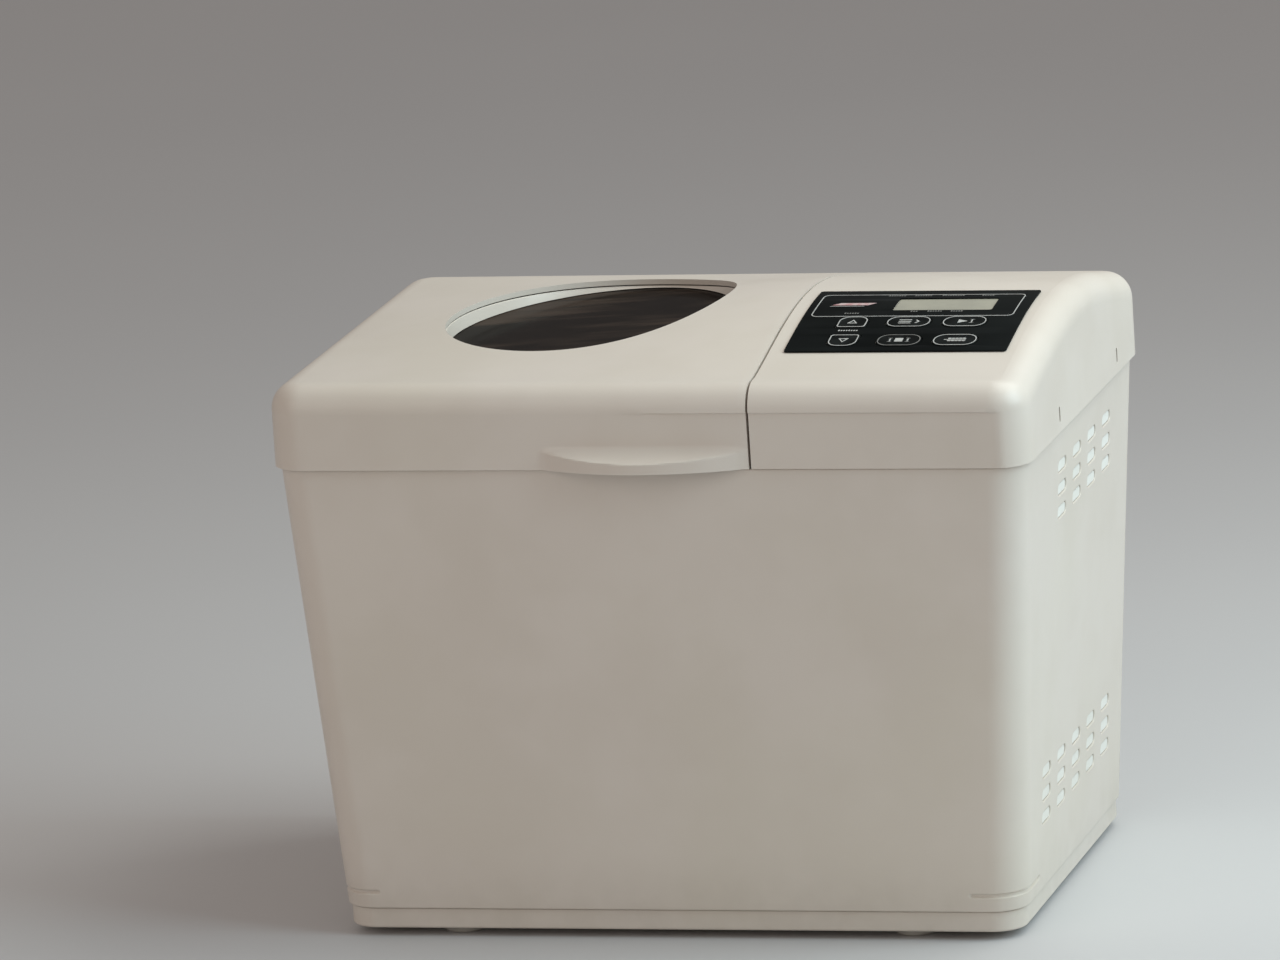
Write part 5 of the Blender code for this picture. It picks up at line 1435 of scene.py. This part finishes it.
    def printed(self, name: str, outlines: Sequence[Sequence[Point]], finish: Finish) -> None:
        """Ink on the film, from outlines measured from its front left corner."""
        start = self.origin()
        moved = [[(start.x + x, start.y + y) for x, y in outline] for outline in outlines]
        mesh = prism(name, moved, self.ink, Matrix.Identity(4))
        lift = self.gap + self.film + self.ink / 2 + 0.00002
        Piece(name, self.on_film(mesh, lift), finish).done()

    def legend(self) -> None:
        """Frame line, ticks and a plain coloured bar on the film."""

        def border(inset: float) -> list[Point]:
            """The frame line's outline, with points along its straight sides."""
            low = (self.frame_low[0] + inset, self.frame_low[1] + inset)
            high = (self.frame_high[0] - inset, self.frame_high[1] - inset)
            corner = 0.0032 - inset
            path = rounded(low, high, corner, 8)
            along = []
            for first, second in zip(path, path[1:] + path[:1]):
                gap = math.hypot(second[0] - first[0], second[1] - first[1])
                count = max(int(gap / 0.004), 1)
                along += [
                    (
                        first[0] + (second[0] - first[0]) * i / count,
                        first[1] + (second[1] - first[1]) * i / count,
                    )
                    for i in range(count)
                ]
            return along

        self.printed("frame_line", [border(0.0), border(self.line)], PRINT)
        bar = [(0.0106, 0.0545), (0.0276, 0.0545), (0.0312, 0.0576), (0.0142, 0.0576)]
        self.printed("colour_bar", [bar], ROSE_PRINT)
        under = [(0.0098, 0.0530), (0.0258, 0.0530), (0.0262, 0.0534), (0.0102, 0.0534)]
        self.printed("bar_shadow", [under], PRINT)
        rows = (
            ("upper", 0.0680, ((0.0345, 0.0435), (0.0470, 0.0560), (0.0600, 0.0715), (0.0790, 0.0860))),
            ("lower", 0.0452, ((0.0500, 0.0545), (0.0580, 0.0655), (0.0690, 0.0755))),
            ("small", 0.0430, ((0.0190, 0.0262),)),
            ("timer", 0.0222, ((0.0208, 0.0304),)),
        )
        for name, y, groups in rows:
            ticks = []
            for start, end in groups:
                for i in range(int((end - start) / self.tick_pitch)):
                    x = start + i * self.tick_pitch
                    tall = 0.0010 if (i * 3) % 4 else 0.0013
                    ticks.append(
                        [(x, y), (x + 0.0007, y), (x + 0.0008, y + tall), (x + 0.0001, y + tall)]
                    )
            self.printed(f"ticks_{name}", ticks, PRINT if name == "timer" else FAINT_PRINT)

    def display(self) -> None:
        """Pale display window."""
        place = self.display_place(self.gap - self.lens / 2)
        lens = prism("lens", [self.display_outline(0.0)], self.lens, place)
        Piece("display_window", lens, DISPLAY).edges(0.0003, 2).done("display_lens")

    def build(self) -> None:
        """Build the whole control cover."""
        self.shell()
        self.sheet()
        self.keys()
        self.legend()
        self.display()


@dataclass
class Baking:
    """Pan with its bail, and the heater round it."""

    cover: CoverForm
    pan_corner: float = 0.026
    pan_wall: float = 0.0015
    pan_flare: float = 0.003
    pan_rim: float = 0.003
    rim_roll: float = 0.0012
    bail: float = 0.002
    sheath: float = 0.00325
    bush_collar: float = 0.003
    ear: float = 0.003
    foot: Point = (0.0250, 0.0285)
    terminal: float = 0.018
    lead: float = 0.024
    blade: float = 0.0034
    hub: float = 0.022

    def pan(self) -> None:
        """Deep coated pan with a rolled rim, ears and a foot ring."""
        _, high = box_of("bread_pan")
        bush_low, bush_high = box_of("pan_bush")
        middle = (bush_low + bush_high) / 2
        handle = box_of("pan_handle")
        axis_z = (handle[0].z + handle[1].z) / 2
        floor = bush_low.z + 0.0020
        rim_z = axis_z - 0.0035
        half_x = high.x - middle.x - self.pan_rim - 0.0015
        half_y = high.y - middle.y - self.pan_rim

        def ring(grow: float, z: float, corner: float) -> list[Vector]:
            """A ring of the pan's wall at height z."""
            share = (rim_z - z) / (rim_z - floor)
            x = half_x + grow - self.pan_flare * share
            y = half_y + grow - self.pan_flare * share
            points = rounded((-x, -y), (x, y), max(corner + grow, 0.002), 14)
            return [Vector((middle.x + px, middle.y + py, z)) for px, py in points]

        wall = self.pan_wall
        soft = 0.006
        turns = [math.pi / 2 * i / 6 for i in range(7)]
        rings = [ring(-0.020, floor, self.pan_corner)]
        rings += [
            ring(-soft + soft * math.sin(a), floor + soft - soft * math.cos(a), self.pan_corner)
            for a in turns
        ]
        rings.append(ring(0.0, rim_z - 0.0022, self.pan_corner))
        roll = [math.pi * (1.25 - 1.5 * i / 10) for i in range(11)]
        centre = (self.pan_rim - self.rim_roll, rim_z - self.rim_roll)
        for a in reversed(roll[:0:-1]):
            grow = centre[0] + self.rim_roll * math.cos(math.pi - a)
            rings.append(ring(grow, centre[1] + self.rim_roll * math.sin(math.pi - a), self.pan_corner))
        rings.append(ring(-wall, rim_z - 0.0004, self.pan_corner))
        inner = soft - wall
        rings += [
            ring(
                -wall - inner + inner * math.cos(a), floor + wall + inner - inner * math.sin(a),
                self.pan_corner,
            )
            for a in turns
        ]
        rings.append(ring(-0.020, floor + wall, self.pan_corner))
        pan = Piece("coated_pan", loft("coated_pan", rings, capped=True), COATED)
        radius = (bush_high.x - bush_low.x) / 2 - self.bush_collar + GAP
        bore = Vector((0, 0, 0.02))
        at = Vector((middle.x, middle.y, floor))
        pan.combine(rod("bore", radius, at - bore, at + bore))
        for side in (-1, 1):
            x = middle.x + side * (half_x + self.pan_rim)
            outline = rounded((-0.008, -0.0085), (0.008, 0.0045), 0.0035, 6)
            hole = ellipse(self.bail + GAP, self.bail + GAP, 24)
            place = side_frame(x) @ Matrix.Translation((middle.y, axis_z, 0.0))
            pan.combine(prism("ear", [outline, hole], self.ear, place), "UNION")
        socket_low, _ = box_of("pan_socket")
        foot_low = socket_low.z + 0.0019
        outlines = [ellipse(radius, radius, 64) for radius in reversed(self.foot)]
        height = floor + wall / 2 - foot_low
        foot = prism(
            "foot", outlines, height, Matrix.Translation((middle.x, middle.y, foot_low + height / 2))
        )
        pan.combine(foot, "UNION").edges(0.0003, 2, 60).done("bread_pan")

    def handle(self) -> None:
        """Wire bail that lies over the pan."""
        low, high = box_of("pan_handle")
        ears = box_of("bread_pan")
        middle_x = (low.x + high.x) / 2
        reach_x = (high.x - low.x) / 2 - self.bail
        inner_x = (ears[1].x - ears[0].x) / 2 - 0.0015 - 0.0035
        axis = Vector((middle_x, high.y - self.bail, (low.z + high.z) / 2))
        reach_y = high.y - low.y - 2 * self.bail
        places = (
            (-inner_x, 0), (-reach_x, 0), (-reach_x, -reach_y), (reach_x, -reach_y), (reach_x, 0),
            (inner_x, 0),
        )
        corners = [axis + Vector((x, y, 0.0)) for x, y in places]
        bend = fillet(corners[1:5], 0.016)
        path = [corners[0]] + bend + [corners[5]]
        Piece("wire_bail", tube("wire_bail", path, self.bail), ROD, "handle").done("pan_handle")

    def heater(self) -> None:
        """Tubular heating element."""
        low, high = box_of("heating_element")
        r = self.sheath
        z = (low.z + high.z) / 2
        pan = box_of("pan_bush")
        middle_y = (pan[0].y + pan[1].y) / 2
        terminal = self.terminal
        right = high.x - self.lead
        places = (
            (high.x, middle_y + terminal), (right, middle_y + terminal), (right, high.y - r), (
                low.x + r, high.y - r
            ),
            (low.x + r, low.y + r), (right, low.y + r), (right, middle_y - terminal), (
                high.x, middle_y - terminal
            ),
        )
        path = fillet([Vector((x, y, z)) for x, y in places], 0.009)
        Piece("heater_tube", tube("heater_tube", path, r), ELEMENT).done("heating_element")

    def paddle(self) -> None:
        """Kneading paddle with a curved, swept blade."""
        low, high = box_of("kneading_paddle")
        shaft_low, shaft_high = box_of("pan_shaft")
        axis = Vector(((shaft_low.x + shaft_high.x) / 2, (shaft_low.y + shaft_high.y) / 2, low.z))
        grip = (shaft_high.x - shaft_low.x) / 2 + GAP
        outer = [(0.0105, 0.0012), (0.0103, 0.0), (grip, 0.0), (grip, self.hub), (0.0075, self.hub)]
        outer.append((0.0085, self.hub - 0.001))
        paddle = Piece("paddle", turned("paddle", outer, axis, 48), COATED, "agitator")
        reach = high.x - axis.x
        span = reach - 0.006
        tall = high.z - low.z
        blade = [(0.006, 0.001), (reach - span * 0.05, 0.001)]
        blade += [(reach - 0.002 + x, tall * 0.16 + y) for x, y in arc((0, 0), 0.002, -60, 10, 4)]
        blade += [
            (reach - span * 0.17, tall * 0.80), (reach - span * 0.24, tall * 0.92),
            (reach - span * 0.36, tall * 0.99),
        ]
        blade += [(reach - span * 0.46, tall), (reach - span * 0.62, tall * 0.93), (0.006, tall * 0.62)]
        upright = Matrix(((1, 0, 0), (0, 0, -1), (0, 1, 0))).to_4x4()
        mesh = prism("blade", [blade], self.blade, Matrix.Translation(axis) @ upright)
        paddle.combine(mesh, "UNION").edges(0.0007, 3, 50).done("kneading_paddle")

    def build(self) -> None:
        """Build the pan, its bail, the heater and the paddle."""
        self.pan()
        self.handle()
        self.heater()
        self.paddle()


@dataclass
class Carried:
    """CAD nodes that keep their shape and take a finish and softened edges."""

    soft: float = 0.0004
    dressing: tuple = (
        (INNER_IVORY, "deck_frame"),
        (SHEET, "baking_chamber heat_shield"),
        (
            ZINC,
            "hinge_bracket_left hinge_bracket_right element_clip_left element_clip_front "
            "element_clip_rear bearing_housing motor motor_bracket chassis_plate",
        ),
        (ROD, "hinge_pin_left hinge_pin_right pan_shaft drive_shaft motor_shaft"),
        (DARK, "display_module sounder large_pulley power_tray cord_gland"),
        (BOARD, "control_board power_board"),
        (BRASS, "temperature_probe pan_bush"),
        (ALUMINIUM, "thermal_fuse pan_socket pan_coupling drive_coupling motor_pulley run_capacitor"),
        (BELT, "drive_belt"),
        (WOUND, "transformer"),
    )
    softened: str = (
        "deck_frame hinge_bracket_left hinge_bracket_right chassis_plate motor_bracket power_tray "
        "cord_gland pan_socket large_pulley run_capacitor drive_coupling pan_coupling"
    )

    def build(self) -> None:
        """Dress every carried node."""
        for finish, names in self.dressing:
            for name in names.split():
                self.dress(name, finish)

    def dress(self, name: str, finish: Finish) -> None:
        """Give one node its finish and soften its edges."""
        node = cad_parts[name]
        for slot in node.material_slots:
            slot.material = dressed(finish)
        if name in self.softened.split():
            soften(node, self.soft, 2, 50)
        LOG.info("%s dressed in %s", name, finish.name)


# Studio -------------------------------------------------------------------------------------------


@dataclass(frozen=True)
class Lamp:
    """A soft area light aimed at the object."""

    name: str
    azimuth: float
    elevation: float
    distance: float
    size: float
    power: float
    colour: Colour

    def build(self, aim: Vector) -> None:
        """Add the light."""
        turn = math.radians(self.azimuth)
        rise = math.radians(self.elevation)
        away = Vector(
            (math.sin(turn) * math.cos(rise), -math.cos(turn) * math.cos(rise), math.sin(rise))
        )
        light = bpy.data.lights.new(self.name, "AREA")
        light.shape = "SQUARE"
        light.size = self.size
        light.energy = self.power
        light.color = self.colour
        item = bpy.data.objects.new(self.name, light)
        item.location = aim + away * self.distance
        item.rotation_mode = "QUATERNION"
        item.rotation_quaternion = away.to_track_quat("Z", "Y")
        bpy.context.scene.collection.objects.link(item)


@dataclass
class Studio:
    """Pale floor, soft lights and the camera."""

    turn: float = 15.397
    drop: float = 12.796
    roll: float = -3.649
    distance: float = 5.4232
    lens: float = 324.42
    aim_x: float = -0.0363
    aim_z: float = 0.1929
    world: Colour = (0.81, 0.75, 0.71)
    world_strength: float = 0.41
    lamps: tuple = (
        Lamp("key", 80.0, 30.0, 1.6, 1.1, 15.5, (0.72, 0.93, 1.0)),
        Lamp("top", 112.0, 60.0, 1.1, 0.8, 6.3, (0.96, 1.0, 0.95)),
        Lamp("fill", -30.0, 22.0, 2.2, 1.6, 7.0, (1.0, 0.88, 0.78)),
    )

    def camera(self, middle_y: float) -> None:
        """Camera turned, dropped and rolled about the aim point."""
        turn = math.radians(self.turn)
        drop = math.radians(self.drop)
        roll = math.radians(self.roll)
        forward = Vector(
            (-math.sin(turn) * math.cos(drop), math.cos(turn) * math.cos(drop), -math.sin(drop))
        )
        level = Vector((math.cos(turn), math.sin(turn), 0.0))
        above = level.cross(forward)
        right = level * math.cos(roll) + above * math.sin(roll)
        up = above * math.cos(roll) - level * math.sin(roll)
        data = bpy.data.cameras.new("camera")
        data.lens = self.lens
        data.sensor_width = 36.0
        data.clip_end = 50.0
        camera = bpy.data.objects.new("camera", data)
        axes = Matrix((right, up, -forward)).transposed().to_4x4()
        place = Vector((self.aim_x, middle_y, self.aim_z)) - forward * self.distance
        camera.matrix_world = Matrix.Translation(place) @ axes
        bpy.context.scene.collection.objects.link(camera)
        bpy.context.scene.camera = camera

    def floor(self) -> None:
        """Plain pale floor."""
        bm = bmesh.new()
        bmesh.ops.create_grid(bm, x_segments=8, y_segments=8, size=6.0)
        item = bpy.data.objects.new("floor", finish_mesh(bm, "floor"))
        graph = Graph("floor_paint")
        speck = graph.noise(graph.place(), 0.004, 3.0)
        tone = graph.mix(
            graph.noise(graph.place(), 0.5, 2.0), (0.62, 0.615, 0.62), (0.58, 0.575, 0.585)
        )
        varying = {
            "Base Color": tone, "Roughness": (speck * 0.1 + 0.55), "Normal": graph.bump(speck, 0.00002)
        }
        item.data.materials.append(graph.finish(varying, {"Specular IOR Level": 0.3}))
        bpy.context.scene.collection.objects.link(item)

    def surroundings(self) -> None:
        """Even pale light from all round."""
        world = bpy.data.worlds.new("surroundings")
        world.use_nodes = True
        background = world.node_tree.nodes["Background"]
        background.inputs[0].default_value = (*self.world, 1.0)
        background.inputs[1].default_value = self.world_strength
        bpy.context.scene.world = world
        bpy.context.scene.view_settings.view_transform = "Standard"

    def build(self, cover: CoverForm) -> None:
        """Build the whole studio."""
        middle_y = (cover.front + cover.back) / 2
        self.camera(middle_y)
        self.floor()
        self.surroundings()
        for lamp in self.lamps:
            lamp.build(Vector((0.0, middle_y, 0.14)))


def main() -> None:
    """Build every sub-assembly, then the studio."""
    logging.basicConfig(level=logging.INFO, format="%(message)s")
    cover = CoverForm()
    Case(cover).build()
    Lid(cover).build()
    Controls(cover).build()
    Baking(cover).build()
    Carried().build()
    Studio().build(cover)


if __name__ == "__main__":
    main()
